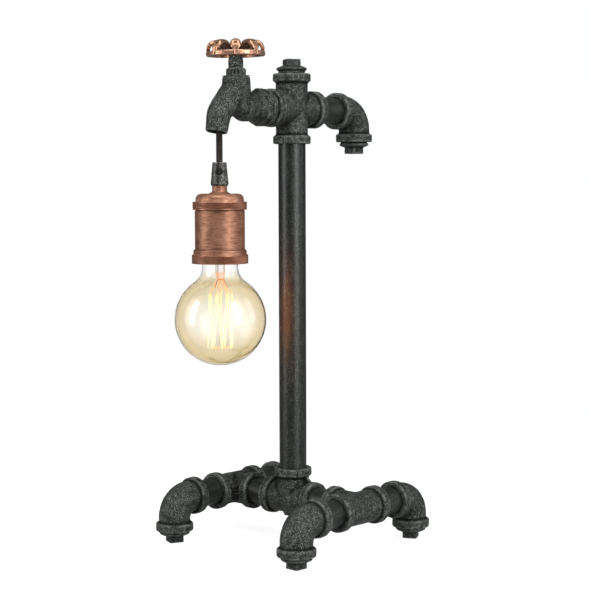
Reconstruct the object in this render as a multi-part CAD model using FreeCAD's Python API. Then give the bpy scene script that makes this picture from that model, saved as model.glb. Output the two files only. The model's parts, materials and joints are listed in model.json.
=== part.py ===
import FreeCAD, Part
import math
import os

# Pipe table lamp: a stand of screwed cast fittings, a tap whose handwheel works a
# rotary switch, and a lampholder that hangs on a short cord from the spout.
# Millimetres, +Z up.  The origin is the foot of the column's axis, on the table.
# X runs along the two foot rails and the top arm, and the tap is on the -X side.

Vector = FreeCAD.Vector
X, Y, Z = Vector(1, 0, 0), Vector(0, 1, 0), Vector(0, 0, 1)

# ---- stand: reaches between the axes of the fittings ----
link_reach = 76.1          # column axis to the axis of each foot rail
foot_reach = 79.3          # rail tee to the axis of each foot
column_height = 358.3      # base tee's centre to the cross's centre
arm_reach = 87.8           # cross's centre to the arm elbow's centre

# ---- pipe and screwed fittings ----
pipe_radius = 12.5
pipe_wall = 2.8
thread_depth = 14.0        # how far a pipe screws into a fitting
thread_gap = 0.05          # radial room between a male thread and its socket
socket_wall = 2.1          # metal round a socket, under the band
band_rise = 2.6            # how far the band stands out of the body
band_width = 7.5
tee_reach = 28.6           # centre to face of tees and elbows
cross_reach = 31.8         # centre to face of the cross
elbow_bend = 17.5          # radius of an elbow's centreline
mouth_chamfer = 0.8
band_round = 0.9

# ---- beaded square-head plugs ----
plug_shank = 11.0
plug_core_radius = 8.0
plug_bead_radius = 13.9
plug_bead_height = 4.1
plug_collar_radius = 10.4  # bead's top, round the foot of the head
plug_head_side = 13.3
plug_head_height = 6.4
plug_head_round = 0.9
foot_thread_show = 0.4     # thread left in view when a plug is screwed home
arm_thread_show = 0.6
top_thread_show = 2.6

# ---- cable inlet, through the back of the far rail tee ----
cord_radius = 2.85
cord_gap = 0.05
bush_radius = 5.2
bush_flange_radius = 7.4
bush_flange_height = 1.6
bush_length = 9.0
bush_spot_depth = 2.3      # flat milled into the tee for the flange
lead_room = 1.1            # between the supply lead and the pipes it lies against
lead_start_gap = 0.3       # between a lead's end and what it is joined to
lead_bend = 32.0

# ---- tap, measured from the cross's centre (heights up, distances out along -X) ----
front_turn = 222.4         # plan direction that the grip's screw and one petal face
boss_out = 71.6            # where the boss's axis crosses the tap's own
boss_lean = 1.2            # degrees that the boss is cast leaning outwards
boss_radius = 12.2
boss_skirt_radius = 12.9
boss_skirt_height = 12.0
boss_height = 25.3
boss_depth = 7.5
chamber_radius = 9.2
chamber_floor = 5.5        # floor of the switch chamber, below the tap's axis
neck_radius = 12.7
neck_out = 53.0
belly_out = 62.5
hex_apothem = 15.4
hex_corner_radius = 16.9
hex_out = 47.4
hex_width = 7.7
hex_chamfer = 1.3
collar_radius = 16.6
collar_width = 4.5
tail_bore = 8.2
tail_thread = 13.0
spout_out = 96.9
spout_drop = 23.4          # middle of the mouth, below the tap's axis
spout_root_out = 76.0
spout_root_rise = 11.6
spout_corner_out = 93.5
spout_corner_drop = 6.5
spout_bend = 15.0
spout_root_radius = 12.0
spout_bend_radius = 10.5
spout_mouth_radius = 9.5
spout_round = 1.2
spout_bore = 7.9
spout_bore_depth = 13.8
spout_throat = 6.0

# ---- bonnet, switch and handwheel ----
bonnet_spigot = 1.5
bonnet_step_radius = 10.2
bonnet_step = 0.6
bonnet_radius = 12.1
bonnet_plate = 0.7
bush_thread_radius = 4.9   # the switch's threaded neck
switch_radius = 8.8
switch_height = 14.0
switch_tag_width = 3.0
switch_tag_height = 4.0
switch_tag_spread = 5.0
nut_flats = 15.4
nut_height = 6.6
nut_turn = 8.0
nut_chamfer = 1.1
gland_radius = 6.6
gland_height = 7.3
gland_lip_radius = 6.2
gland_lip = 2.6
stem_radius = 3.0
stem_gap = 0.06
wheel_fit = 0.02           # room between the stem and the hub
wheel_lift = 0.4           # wheel's hub above the gland
wheel_radius = 25.9
wheel_height = 14.1
wheel_ring_height = 4.2
wheel_ring_width = 4.4
wheel_hub_radius = 6.4
wheel_web_height = 2.8     # where the dished web leaves the hub
wheel_plate_radius = 13.4
wheel_plate_height = 2.4
wheel_plate_top = 10.2
arch_count = 8
arch_centre_radius = 17.2
arch_centre_height = 5.8
arch_thickness = 3.4
arch_round = 2.4           # outer corners of the arch's section
arch_width = 9.6
arch_waist = 5.2
petal_groove = 0.95        # radius of the groove down each petal's outer leg
petal_groove_sink = 0.6
petal_dimple = 1.5         # radius of the pocket at the groove's top
petal_dimple_height = 10.6
wheel_turn = 2.3
wheel_screw_radius = 3.4
wheel_screw_head = 2.0
wheel_screw_shank = 1.6
wheel_screw_length = 8.0

# ---- pendant cord ----
pendant_inset = 3.5        # the cord hangs this far inside the middle of the mouth
pivot_rise = 1.1           # upper bend of the cord, inside the spout's mouth
pendant_length = 25.8      # spout's mouth to the top of the cord grip
pivot_sink = 0.6           # lower bend, below the top of the grip
swing_limit = 25.0         # the grip's countersunk mouth lets the cord lean this far
end_gap = 0.3              # between the cord's round end and its cup
tap_lead_bend = 15.0
tag_clearance = 0.1        # between the switch's tags and the supply lead

# ---- lampholder, depths below the top of the cord grip ----
grip_top_radius = 6.1
grip_foot_radius = 7.85
grip_length = 20.4
grip_foot = 1.4
grip_thread_depth = 9.0
grip_screw_depth = 7.9
grip_screw_radius = 3.5
grip_screw_head = 1.6
grip_screw_shank = 1.8
entry_radius = 4.9
entry_bore = 3.7
entry_length = 20.0
cap_neck_radius = 6.55
cap_neck_foot = 25.4
cap_flare_radius = 9.6
cap_top = 27.2
cap_radius = 21.1
cap_round = 5.0
cap_wall = 1.0
cap_skirt = 37.6
upper_ring_top = 34.2
upper_ring_height = 7.0
upper_ring_radius = 23.75
ring_round = 0.7
shell_radius = 21.8
shell_wall = 1.2
shell_top = 37.9
shell_shoulder = 42.2
step_top = 75.9
step_radius = 23.3
step_height = 4.4
shell_thread_radius = 22.2
shell_thread = 5.6
shade_ring_radius = 24.7
shade_ring_height = 7.7
shade_ring_lip = 1.4
shade_ring_opening = 17.4
insulator_top = 40.0
insulator_length = 43.0
insulator_radius = 20.4
contact_shell_radius = 14.3
contact_shell_wall = 0.6
contact_shell_top = 52.0
contact_shell_length = 27.0
tongue_width = 6.0
tongue_length = 17.0
tongue_height = 1.2
terminal_spread = 12.0
terminal_screw_radius = 2.6
terminal_screw_head = 1.8
terminal_shank_radius = 1.4
terminal_shank = 5.0

# ---- bulb: 80 mm globe on a 27 mm screw cap, depths below the top of the grip ----
bulb_play = 0.15           # room between the tip and the centre contact
tip_radius = 4.8
tip_height = 1.4
button_radius = 10.6
button_height = 3.4
bulb_cap_radius = 13.3
bulb_cap_wall = 0.5
bulb_cap_length = 23.0
glass_radius = 40.0
globe_top = 97.2           # where the full globe's top would be
glass_wall = 0.9
glass_inset = 5.0          # glass held inside the cap
glass_shoulder = 3.2       # from the cap's rim to the full width of the neck
glass_neck_radius = 15.75
glass_waist_round = 26.0
mount_stem_radius = 4.2
mount_stem_foot = 101.0
mount_rod_radius = 1.1
mount_rod_foot = 166.0
upper_hook_depth = 110.0
lower_hook_depth = 162.0
upper_hook_spread = 7.0
lower_hook_spread = 11.0
hook_wire_radius = 0.35
lead_wire_radius = 0.4
lead_wire_spread = 2.4     # from the bulb's axis, inside the stem
filament_strands = 14
filament_radius = 0.3

os.makedirs("parts", exist_ok=True)


# ---------------------------------------------------------------- shape helpers
def outline(points):
    """Closed wire in the XZ plane through (radius, height) points.  A third number
    rounds that corner with a tangent arc."""
    corners = [Vector(p[0], 0, p[1]) for p in points]
    edges, ends = [], []
    for i, point in enumerate(points):
        here = corners[i]
        before, after = corners[i - 1], corners[(i + 1) % len(corners)]
        if len(point) < 3:
            ends.append((here, here))
            continue
        back, ahead = (before - here).normalize(), (after - here).normalize()
        half = back.getAngle(ahead) / 2
        reach = point[2] / math.tan(half)
        first, last = here + back * reach, here + ahead * reach
        centre = here + (back + ahead).normalize() * (point[2] / math.sin(half))
        middle = centre + (here - centre).normalize() * point[2]
        edges.append(Part.Arc(first, middle, last).toShape())
        ends.append((first, last))
    for i in range(len(ends)):
        start, stop = ends[i][1], ends[(i + 1) % len(ends)][0]
        if start.distanceToPoint(stop) > 1e-6:
            edges.append(Part.LineSegment(start, stop).toShape())
    return Part.Wire(Part.__sortEdges__(edges))


def turned(points):
    """Solid of revolution about Z."""
    return Part.Face(outline(points)).revolve(Vector(), Z, 360)


def tube(outer, inner, low, high):
    """Plain ring or pipe about Z."""
    return turned([(inner, low), (outer, low), (outer, high), (inner, high)])


def rod(radius, low, high):
    return Part.makeCylinder(radius, high - low, Vector(0, 0, low))


def aimed(shape, origin, direction, twist=0.0):
    """A shape made about +Z, twisted about it, then pointed along a direction."""
    turn = FreeCAD.Rotation(Z, direction).multiply(FreeCAD.Rotation(Z, twist))
    placed = shape.copy()
    placed.Placement = FreeCAD.Placement(origin, turn)
    return placed


def fused(shapes):
    return shapes[0].fuse(shapes[1:]).removeSplitter()


def hexagon(apothem, low, high, twist=0.0):
    corners = []
    for k in range(7):
        angle = math.radians(60 * k + twist)
        reach = apothem / math.cos(math.radians(30))
        corners.append(Vector(reach * math.cos(angle), reach * math.sin(angle), low))
    return Part.Face(Part.makePolygon(corners)).extrude(Vector(0, 0, high - low))


def bent_path(points, radius):
    """Straight runs through the points, joined by tangent arcs of one radius."""
    edges, start = [], points[0]
    for before, here, after in zip(points, points[1:], points[2:]):
        back, ahead = (before - here).normalize(), (after - here).normalize()
        half = back.getAngle(ahead) / 2
        reach = radius / math.tan(half)
        first, last = here + back * reach, here + ahead * reach
        centre = here + (back + ahead).normalize() * (radius / math.sin(half))
        middle = centre + (here - centre).normalize() * radius
        edges.append(Part.LineSegment(start, first).toShape())
        edges.append(Part.Arc(first, middle, last).toShape())
        start = last
    edges.append(Part.LineSegment(start, points[-1]).toShape())
    return Part.Wire(edges)


def ring_wire(radius, centre, direction):
    return Part.Wire(Part.makeCircle(radius, centre, direction))


def cable(points, bend):
    """Round cable swept along a path of runs and arcs."""
    path = bent_path(points, bend)
    section = ring_wire(cord_radius, points[0], points[1] - points[0])
    return path.makePipeShell([section], True, True)


# ---------------------------------------------------------------- screwed fittings
body_radius = pipe_radius + socket_wall
band_radius = body_radius + band_rise
socket_radius = pipe_radius + thread_gap
bore_radius = pipe_radius - pipe_wall - 0.1


def fitting_arm(start, reach):
    """One arm of a fitting, along +Z, with the band round its mouth."""
    foot = reach - band_width
    return turned([(0, start), (body_radius, start), (body_radius, foot - mouth_chamfer),
                   (band_radius, foot + mouth_chamfer), (band_radius, reach, band_round),
                   (0, reach)])


def arm_bore(start, reach):
    """The waterway and the socket of one arm, along +Z, to be cut out."""
    shoulder = reach - thread_depth
    if start >= shoulder:
        return turned([(0, shoulder), (socket_radius, shoulder),
                       (socket_radius, reach - mouth_chamfer),
                       (socket_radius + mouth_chamfer, reach), (0, reach)])
    return turned([(0, start), (bore_radius, start), (bore_radius, shoulder),
                   (socket_radius, shoulder), (socket_radius, reach - mouth_chamfer),
                   (socket_radius + mouth_chamfer, reach), (0, reach)])


def straight_fitting(centre, directions, reach):
    """Straight arms from one centre, each with its bore and its socket."""
    body = fused([aimed(fitting_arm(0, reach), centre, way) for way in directions])
    for way in directions:
        body = body.cut(aimed(arm_bore(0, reach), centre, way))
    return body


def elbow(centre, turn):
    """A 90 degree elbow that joins an arm along -X to one pointing down, then turned
    about the vertical."""
    arms = [X * -1, Z * -1]
    pivot = (arms[0] + arms[1]) * elbow_bend
    start = arms[0] * elbow_bend

    def bend(radius):
        disc = Part.Face(ring_wire(radius, start, arms[0]))
        return disc.revolve(pivot, arms[0].cross(arms[1]), -90)

    body = fused([bend(body_radius)]
                 + [aimed(fitting_arm(elbow_bend, tee_reach), Vector(), way) for way in arms])
    for way in arms:
        body = body.cut(aimed(arm_bore(tee_reach - thread_depth, tee_reach), Vector(), way))
    body = body.cut(bend(bore_radius))
    return aimed(body, centre, Z, turn)


def nipple(centre_a, reach_a, centre_b, reach_b):
    """A pipe from the shoulder in one fitting to the shoulder in the next."""
    way = (centre_b - centre_a).normalize()
    low = reach_a - thread_depth
    high = centre_a.distanceToPoint(centre_b) - (reach_b - thread_depth)
    inside = pipe_radius - pipe_wall
    pipe = turned([(inside, low), (pipe_radius - mouth_chamfer, low),
                   (pipe_radius, low + mouth_chamfer), (pipe_radius, high - mouth_chamfer),
                   (pipe_radius - mouth_chamfer, high), (inside, high)])
    return aimed(pipe, centre_a, way)


def plug(face, outward, show, twist):
    """Beaded square-head plug screwed into the socket whose mouth is at face."""
    top = show + plug_bead_height
    body = turned([(plug_core_radius, -plug_shank), (pipe_radius, -plug_shank),
                   (pipe_radius, show), (plug_bead_radius, show + 0.25 * plug_bead_height, 0.5),
                   (plug_bead_radius, show + 0.6 * plug_bead_height, 0.8),
                   (plug_collar_radius, top), (0, top), (0, show), (plug_core_radius, show)])
    side = plug_head_side
    head = Part.makeBox(side, side, plug_head_height, Vector(-side / 2, -side / 2, top))
    uprights = [e for e in head.Edges if abs(e.tangentAt(0).z) > 0.9]
    head = head.makeFillet(plug_head_round, uprights)
    crown = head.BoundBox.ZMax
    rim = [e for e in head.Edges if abs(e.CenterOfMass.z - crown) < 1e-6]
    head = head.makeChamfer(0.5 * plug_head_round, rim)
    return aimed(fused([body, head]), face, outward, twist)


# ---------------------------------------------------------------- layout
foot_height = tee_reach + foot_thread_show + plug_bead_height + plug_head_height
base_centre = Vector(0, 0, foot_height)
cross_centre = base_centre + Z * column_height
elbow_centre = cross_centre + X * arm_reach
rail_centres = {"near": base_centre - Y * link_reach, "far": base_centre + Y * link_reach}
inward = {"near": Y, "far": Y * -1}
foot_ways = {"left": X * -1, "right": X}
foot_turns = {"left": 180, "right": 0}
foot_twists = {"near_left": 2.6, "near_right": 62.0, "far_left": 24.0, "far_right": 40.0}
top_plug_twist = 62.0
arm_plug_twist = 4.0

pieces = {}
# The base tee is made lying flat, then turned so that its run is Y and its branch is Z.
base_tee = straight_fitting(Vector(), [X, X * -1, Y], tee_reach)
base_tee.Placement = FreeCAD.Placement(base_centre, FreeCAD.Rotation(Y, Z, X, "XYZ"))
pieces["base_tee"] = base_tee
pieces["column_pipe"] = nipple(base_centre, tee_reach, cross_centre, cross_reach)
pieces["top_cross"] = straight_fitting(cross_centre, [X, X * -1, Z, Z * -1], cross_reach)
pieces["top_plug"] = plug(cross_centre + Z * cross_reach, Z, top_thread_show, top_plug_twist)
pieces["arm_nipple"] = nipple(cross_centre, cross_reach, elbow_centre, tee_reach)
pieces["arm_elbow"] = elbow(elbow_centre, 0)
pieces["arm_plug"] = plug(elbow_centre - Z * tee_reach, Z * -1, arm_thread_show, arm_plug_twist)

for side, rail in rail_centres.items():
    pieces[f"link_nipple_{side}"] = nipple(base_centre, tee_reach, rail, tee_reach)
    pieces[f"rail_tee_{side}"] = straight_fitting(rail, [X, X * -1, inward[side]], tee_reach)
    for end, way in foot_ways.items():
        name = f"{side}_{end}"
        foot = rail + way * foot_reach
        pieces[f"rail_nipple_{name}"] = nipple(rail, tee_reach, foot, tee_reach)
        pieces[f"foot_elbow_{name}"] = elbow(foot, foot_turns[end])
        mouth = foot - Z * tee_reach
        pieces[f"foot_plug_{name}"] = plug(mouth, Z * -1, foot_thread_show, foot_twists[name])

# ---------------------------------------------------------------- cable inlet and lead
inlet_face = rail_centres["far"] + Y * (body_radius - bush_spot_depth)
spot = aimed(rod(bush_flange_radius + 0.3, 0, 5), inlet_face, Y)
hole = aimed(rod(bush_radius + cord_gap, -body_radius, 1), inlet_face, Y)
pieces["rail_tee_far"] = pieces["rail_tee_far"].cut(spot).cut(hole)
bush = turned([(cord_radius + cord_gap, bush_flange_height - bush_length),
               (bush_radius, bush_flange_height - bush_length), (bush_radius, 0),
               (bush_flange_radius, 0), (bush_flange_radius, bush_flange_height, 0.6),
               (cord_radius + cord_gap, bush_flange_height)])
pieces["inlet_bush"] = aimed(bush, inlet_face, Y)


# ---------------------------------------------------------------- tap
boss_axis = cross_centre - X * boss_out
lean = math.radians(boss_lean)
boss_way = Z * math.cos(lean) - X * math.sin(lean)


def tap_axis_piece(points):
    """Something turned about the tap's own axis; heights run out along -X."""
    return aimed(turned(points), cross_centre, X * -1)


spout_corner = cross_centre - X * spout_corner_out - Z * spout_corner_drop
spout_end = cross_centre - X * spout_out - Z * spout_drop
spout_way = (spout_end - spout_corner).normalize()


def spout_shell(root, bend, mouth):
    """The spout's tube: a swept taper with its radius at root, bend and mouth."""
    start = cross_centre - X * spout_root_out + Z * spout_root_rise
    path = bent_path([start, spout_corner, spout_end], spout_bend)
    straight = path.Edges[-1].Vertexes[0].Point
    sections = [ring_wire(root, start, spout_corner - start),
                ring_wire(bend, straight, spout_way), ring_wire(mouth, spout_end, spout_way)]
    return path.makePipeShell(sections, True, True)


def tap():
    shank_end = cross_reach - tail_thread
    tail_radius = pipe_radius - 0.1
    hex_back = hex_out - hex_width
    collar_back = hex_back - collar_width
    tail = tap_axis_piece([
        (0, shank_end), (tail_radius, shank_end), (tail_radius, collar_back),
        (collar_radius, collar_back, 0.8), (collar_radius, hex_back), (neck_radius, hex_back),
        (neck_radius, neck_out), (neck_radius + 0.4, belly_out), (0, belly_out)])
    flare = tap_axis_piece([(0, hex_back), (collar_radius - 1, hex_back),
                            (collar_radius - 1, hex_out - 1), (neck_radius, neck_out),
                            (0, neck_out)])
    nut = aimed(hexagon(hex_apothem, hex_back, hex_out), cross_centre, X * -1)
    bevel = tap_axis_piece([
        (0, hex_back), (hex_corner_radius, hex_back), (hex_corner_radius, hex_out - hex_chamfer),
        (hex_corner_radius - 2 * hex_chamfer, hex_out), (0, hex_out)])
    belly = Part.makeSphere(neck_radius + 0.4, cross_centre - X * belly_out)
    boss = turned([(0, -boss_depth), (boss_radius, -boss_depth, 6.0),
                   (boss_skirt_radius, boss_skirt_height), (boss_radius, boss_height, 0.6),
                   (0, boss_height)])
    boss = aimed(boss, boss_axis, boss_way)
    spout = spout_shell(spout_root_radius, spout_bend_radius, spout_mouth_radius)
    rim = [e for e in spout.Edges if e.CenterOfMass.distanceToPoint(spout_end) < 1e-3]
    spout = spout.makeFillet(spout_round, rim)
    body = fused([tail, flare, nut.common(bevel), belly, boss, spout])
    chamber = aimed(rod(chamber_radius, -chamber_floor, boss_height + 1), boss_axis, boss_way)
    drill = aimed(rod(tail_bore, shank_end - 1, boss_out), cross_centre, X * -1)
    throat = spout_shell(spout_throat, spout_throat, spout_throat)
    mouth = aimed(rod(spout_bore, -spout_bore_depth, 1), spout_end, spout_way)
    return body.cut(chamber).cut(drill).cut(throat).cut(mouth)


pieces["tap_body"] = tap()

plate_top = boss_height + bonnet_step + bonnet_plate
bonnet = turned([
    (bush_thread_radius + thread_gap, boss_height - bonnet_spigot),
    (chamber_radius - thread_gap, boss_height - bonnet_spigot),
    (chamber_radius - thread_gap, boss_height), (bonnet_step_radius, boss_height),
    (bonnet_step_radius, boss_height + bonnet_step), (bonnet_radius, boss_height + bonnet_step),
    (bonnet_radius, plate_top), (bush_thread_radius + thread_gap, plate_top)])
pieces["bonnet_washer"] = aimed(bonnet, boss_axis, boss_way)

nut_top = plate_top + nut_height
packing_nut = hexagon(nut_flats / 2, plate_top, nut_top, nut_turn)
nut_corner = nut_flats / 2 / math.cos(math.radians(30))
packing_nut = packing_nut.common(turned([
    (0, plate_top), (nut_corner, plate_top), (nut_corner, nut_top - nut_chamfer),
    (nut_corner - 1.6 * nut_chamfer, nut_top), (0, nut_top)]))
packing_nut = packing_nut.cut(rod(bush_thread_radius + thread_gap, plate_top - 1, nut_top + 1))
pieces["packing_nut"] = aimed(packing_nut, boss_axis, boss_way)

switch_top = boss_height - bonnet_spigot
stem_hole = stem_radius + stem_gap
switch = fused([
    rod(switch_radius, switch_top - switch_height, switch_top),
    rod(bush_thread_radius, switch_top, nut_top)])
switch = switch.cut(rod(stem_hole, switch_top - 0.5 * switch_height, nut_top + 1))
tag_foot = switch_top - switch_height - switch_tag_height
for sign in (-1, 1):
    corner_point = Vector(sign * switch_tag_spread - 0.4, -switch_tag_width / 2, tag_foot)
    tag = Part.makeBox(0.8, switch_tag_width, switch_tag_height + 1, corner_point)
    switch = switch.fuse(tag)
pieces["rotary_switch"] = aimed(switch.removeSplitter(), boss_axis, boss_way)

gland_top = nut_top + gland_height
gland = turned([(stem_hole, nut_top), (gland_radius, nut_top), (gland_radius, gland_top, 0.5),
                (gland_lip_radius, gland_top), (gland_lip_radius, gland_top + gland_lip),
                (stem_hole, gland_top + gland_lip)])
pieces["stem_gland"] = aimed(gland, boss_axis, boss_way)

wheel_base = gland_top + gland_lip + wheel_lift
stem_foot = switch_top - 0.5 * switch_height + 0.4
stem_top = wheel_base + wheel_plate_top
stem = rod(stem_radius, stem_foot, stem_top)
stem = stem.cut(rod(wheel_screw_shank, stem_top - wheel_screw_length, stem_top + 1))
pieces["switch_stem"] = aimed(stem, boss_axis, boss_way)

wheel_screw = fused([
    rod(wheel_screw_shank - cord_gap, stem_top - wheel_screw_length + 0.5, stem_top + 0.5),
    turned([(0, stem_top), (wheel_screw_radius, stem_top),
            (wheel_screw_radius, stem_top + wheel_screw_head, 0.9),
            (0, stem_top + wheel_screw_head)])])
pieces["handwheel_screw"] = aimed(wheel_screw, boss_axis, boss_way)


def handwheel():
    """Flat rim, plate and hub, joined by arches that stand up like petals."""
    rim = turned([(wheel_radius - wheel_ring_width, 0), (wheel_radius, 0, 0.7),
                  (wheel_radius, wheel_ring_height, 1.2),
                  (wheel_radius - wheel_ring_width, wheel_ring_height, 0.9)])
    plate_low = wheel_plate_top - wheel_plate_height
    hub_bore = stem_radius + wheel_fit
    hub = turned([(hub_bore, 0), (wheel_hub_radius, 0, 0.6), (wheel_hub_radius, wheel_web_height, 1.5),
                  (wheel_plate_radius, plate_low), (wheel_plate_radius, wheel_plate_top, 1.0),
                  (hub_bore, wheel_plate_top)])
    mean = wheel_height - arch_centre_height - arch_thickness / 2
    pivot = Vector(arch_centre_radius, 0, arch_centre_height)
    half = arch_width / 2
    low, high = mean - arch_thickness / 2, mean + arch_thickness / 2
    band = outline([(low, -half), (high, -half, arch_round), (high, half, arch_round), (low, half)])
    band.rotate(Vector(), X, -90)
    band.translate(pivot)
    arch = Part.Face(band).revolve(pivot, Y, -180)
    waist = arch_waist / 2
    foot = Part.makeBox(arch_thickness, arch_waist, arch_centre_height,
                        Vector(arch_centre_radius + low, -waist, 0))
    petal_foot = wheel_ring_height - 0.6
    petal_top = wheel_height + 0.01
    shoulder = arch_centre_height + 3.2
    petal = Part.Wire([
        Part.LineSegment(Vector(0, -waist, petal_foot), Vector(0, -half, shoulder)).toShape(),
        Part.Arc(Vector(0, -half, shoulder), Vector(0, 0, petal_top),
                 Vector(0, half, shoulder)).toShape(),
        Part.LineSegment(Vector(0, half, shoulder), Vector(0, waist, petal_foot)).toShape(),
        Part.LineSegment(Vector(0, waist, petal_foot), Vector(0, -waist, petal_foot)).toShape()])
    petal = Part.Face(petal).extrude(Vector(wheel_radius + 1, 0, 0))
    lobe = fused([arch, foot]).common(petal)
    lobes = []
    for k in range(arch_count):
        turn = FreeCAD.Rotation(Z, 360.0 * k / arch_count)
        copy = lobe.copy()
        copy.Placement = FreeCAD.Placement(Vector(), turn)
        lobes.append(copy)
    wheel = fused([rim, hub] + lobes)

    # A groove runs up each petal's outer leg and ends in a small pocket.
    reach = wheel_height - arch_centre_height
    rise = petal_dimple_height - arch_centre_height
    pocket_out = arch_centre_radius + math.sqrt(reach ** 2 - rise ** 2)
    groove_out = wheel_radius + petal_groove - petal_groove_sink
    for k in range(arch_count):
        turn = FreeCAD.Rotation(Z, 360.0 * k / arch_count)
        groove = rod(petal_groove, -1, petal_dimple_height)
        groove.translate(X * groove_out)
        pocket = Part.makeSphere(petal_dimple, Vector(pocket_out, 0, petal_dimple_height))
        cutter = groove.fuse(pocket)
        cutter.Placement = FreeCAD.Placement(Vector(), turn)
        wheel = wheel.cut(cutter)
    return wheel


wheel_foot = boss_axis + boss_way * wheel_base
pieces["handwheel"] = aimed(handwheel(), wheel_foot, boss_way, front_turn + wheel_turn)

# The supply lead starts inside the inlet bush, rises up the column and ends under a tag.
lead_offset = bore_radius - cord_radius - lead_room
tag_height = tag_foot * math.cos(lean) + (switch_tag_spread - 0.4) * math.sin(lean)
lead_height = tag_height - tag_clearance - cord_radius
pieces["supply_lead"] = cable([
    inlet_face - Y * (bush_length - bush_flange_height + lead_start_gap),
    base_centre - Y * lead_offset - Z * lead_offset,
    cross_centre + X * lead_offset + Z * lead_height,
    boss_axis + X * (switch_tag_spread / 2) + Z * lead_height], lead_bend)

# ---------------------------------------------------------------- pendant cord
pendant_out = spout_out - pendant_inset
pivot = cross_centre - X * pendant_out - Z * (spout_drop - pivot_rise)
grip_top = cross_centre - X * pendant_out - Z * (spout_drop + pendant_length)
swing_length = pivot.z - (grip_top.z - pivot_sink)
cord = fused([rod(cord_radius, 0, swing_length), Part.makeSphere(cord_radius),
              Part.makeSphere(cord_radius, Vector(0, 0, swing_length))])
pieces["pendant_cord"] = aimed(cord, pivot, Z * -1)

# The fixed stretch above it follows the spout's slope down from the switch.
slope = (spout_root_rise + spout_corner_drop) / (spout_corner_out - spout_root_out)


def on_slope(out):
    rise = spout_root_rise - slope * (out - spout_root_out)
    return cross_centre - X * out + Z * rise


# It starts just clear of the outer tag and of the switch's lower edge.
slope_root = on_slope(spout_root_out)
slope_way = (on_slope(pendant_out) - slope_root).normalize()
boss_out_way = X * -math.cos(lean) - Z * math.sin(lean)
switch_edge = boss_axis + boss_way * (switch_top - switch_height) + boss_out_way * switch_radius
tag_edge = boss_axis + boss_way * tag_foot + boss_out_way * (switch_tag_spread + 0.4)
ahead = max((edge - slope_root).dot(slope_way) for edge in (switch_edge, tag_edge))
tap_lead_start = slope_root + slope_way * (ahead + lead_start_gap)

cup = cord_radius + end_gap
tap_lead = cable([tap_lead_start, on_slope(pendant_out), pivot], tap_lead_bend)
pieces["tap_lead"] = tap_lead.cut(Part.makeSphere(cup, pivot))


# ---------------------------------------------------------------- lampholder
def hung(shape, twist=0.0):
    """A lampholder piece made about Z, with its height as depth below the grip's top."""
    return aimed(shape, grip_top, Z * -1, twist)


grip = turned([(0, 0), (grip_top_radius, 0, 0.4),
               (grip_foot_radius, grip_length - grip_foot, 0.3),
               (grip_foot_radius - 0.8, grip_length), (0, grip_length)])
grip = grip.cut(Part.makeSphere(cup, Vector(0, 0, pivot_sink)))
swing = math.radians(swing_limit)
sink_foot = pivot_sink + cup * math.sin(swing)
grip = grip.cut(turned([(0, -1), (cup / math.cos(swing) + (pivot_sink + 1) * math.tan(swing), -1),
                        (cup * math.cos(swing), sink_foot), (0, sink_foot)]))
grip = grip.cut(rod(cord_radius + cord_gap, 0, grip_length))
grip = grip.cut(rod(entry_radius + thread_gap, grip_length - grip_thread_depth, grip_length))

screw_face = (grip_top_radius + (grip_foot_radius - grip_top_radius)
              * grip_screw_depth / (grip_length - grip_foot))
screw_head_foot = screw_face - grip_screw_head + 0.5
grip_screw = fused([
    rod(grip_screw_shank, cord_radius + 0.1, screw_head_foot),
    turned([(0, screw_head_foot), (grip_screw_radius, screw_head_foot),
            (grip_screw_radius, screw_head_foot + grip_screw_head, 0.5),
            (0, screw_head_foot + grip_screw_head)])])
recess = fused([rod(grip_screw_shank + thread_gap, 0, grip_foot_radius),
                rod(grip_screw_radius + 0.1, screw_head_foot, grip_foot_radius + 2)])
# The hung frame is turned over, so an angle in plan is mirrored in it.
screw_way = Vector(math.cos(math.radians(-front_turn)), math.sin(math.radians(-front_turn)), 0)
screw_spot = Vector(0, 0, grip_screw_depth)
pieces["cord_grip"] = hung(grip.cut(aimed(recess, screw_spot, screw_way)))
pieces["grip_screw"] = hung(Part.Compound([aimed(grip_screw, screw_spot, screw_way)]))

entry_start = grip_length - grip_thread_depth + 0.5
pieces["entry_nipple"] = hung(tube(entry_radius, entry_bore, entry_start,
                                   entry_start + entry_length))

neck_bore = entry_radius + thread_gap
under_top = cap_top + cap_wall
inner_cap = cap_radius - cap_wall
pieces["holder_cap"] = hung(turned([
    (neck_bore, grip_length), (cap_neck_radius, grip_length, 0.3),
    (cap_neck_radius, cap_neck_foot, 1.0), (cap_flare_radius, cap_top, 1.0),
    (cap_radius, cap_top, cap_round), (cap_radius, cap_skirt), (inner_cap, cap_skirt),
    (inner_cap, under_top, cap_round - cap_wall), (neck_bore, under_top)]))

ring_bore = cap_radius + thread_gap
pieces["upper_ring"] = hung(turned([
    (ring_bore, upper_ring_top), (upper_ring_radius, upper_ring_top, ring_round),
    (upper_ring_radius, upper_ring_top + upper_ring_height, ring_round),
    (ring_bore, upper_ring_top + upper_ring_height)]))

step_foot = step_top + step_height
thread_foot = step_foot + shell_thread
shell_inside = shell_radius - shell_wall
pieces["holder_shell"] = hung(turned([
    (shell_inside, shell_top), (cap_radius, shell_top), (cap_radius, shell_shoulder - 0.8),
    (shell_radius, shell_shoulder), (shell_radius, step_top - 0.4), (step_radius, step_top + 0.6),
    (step_radius, step_foot), (shell_thread_radius, step_foot),
    (shell_thread_radius, thread_foot), (shell_inside, thread_foot)]))

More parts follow.
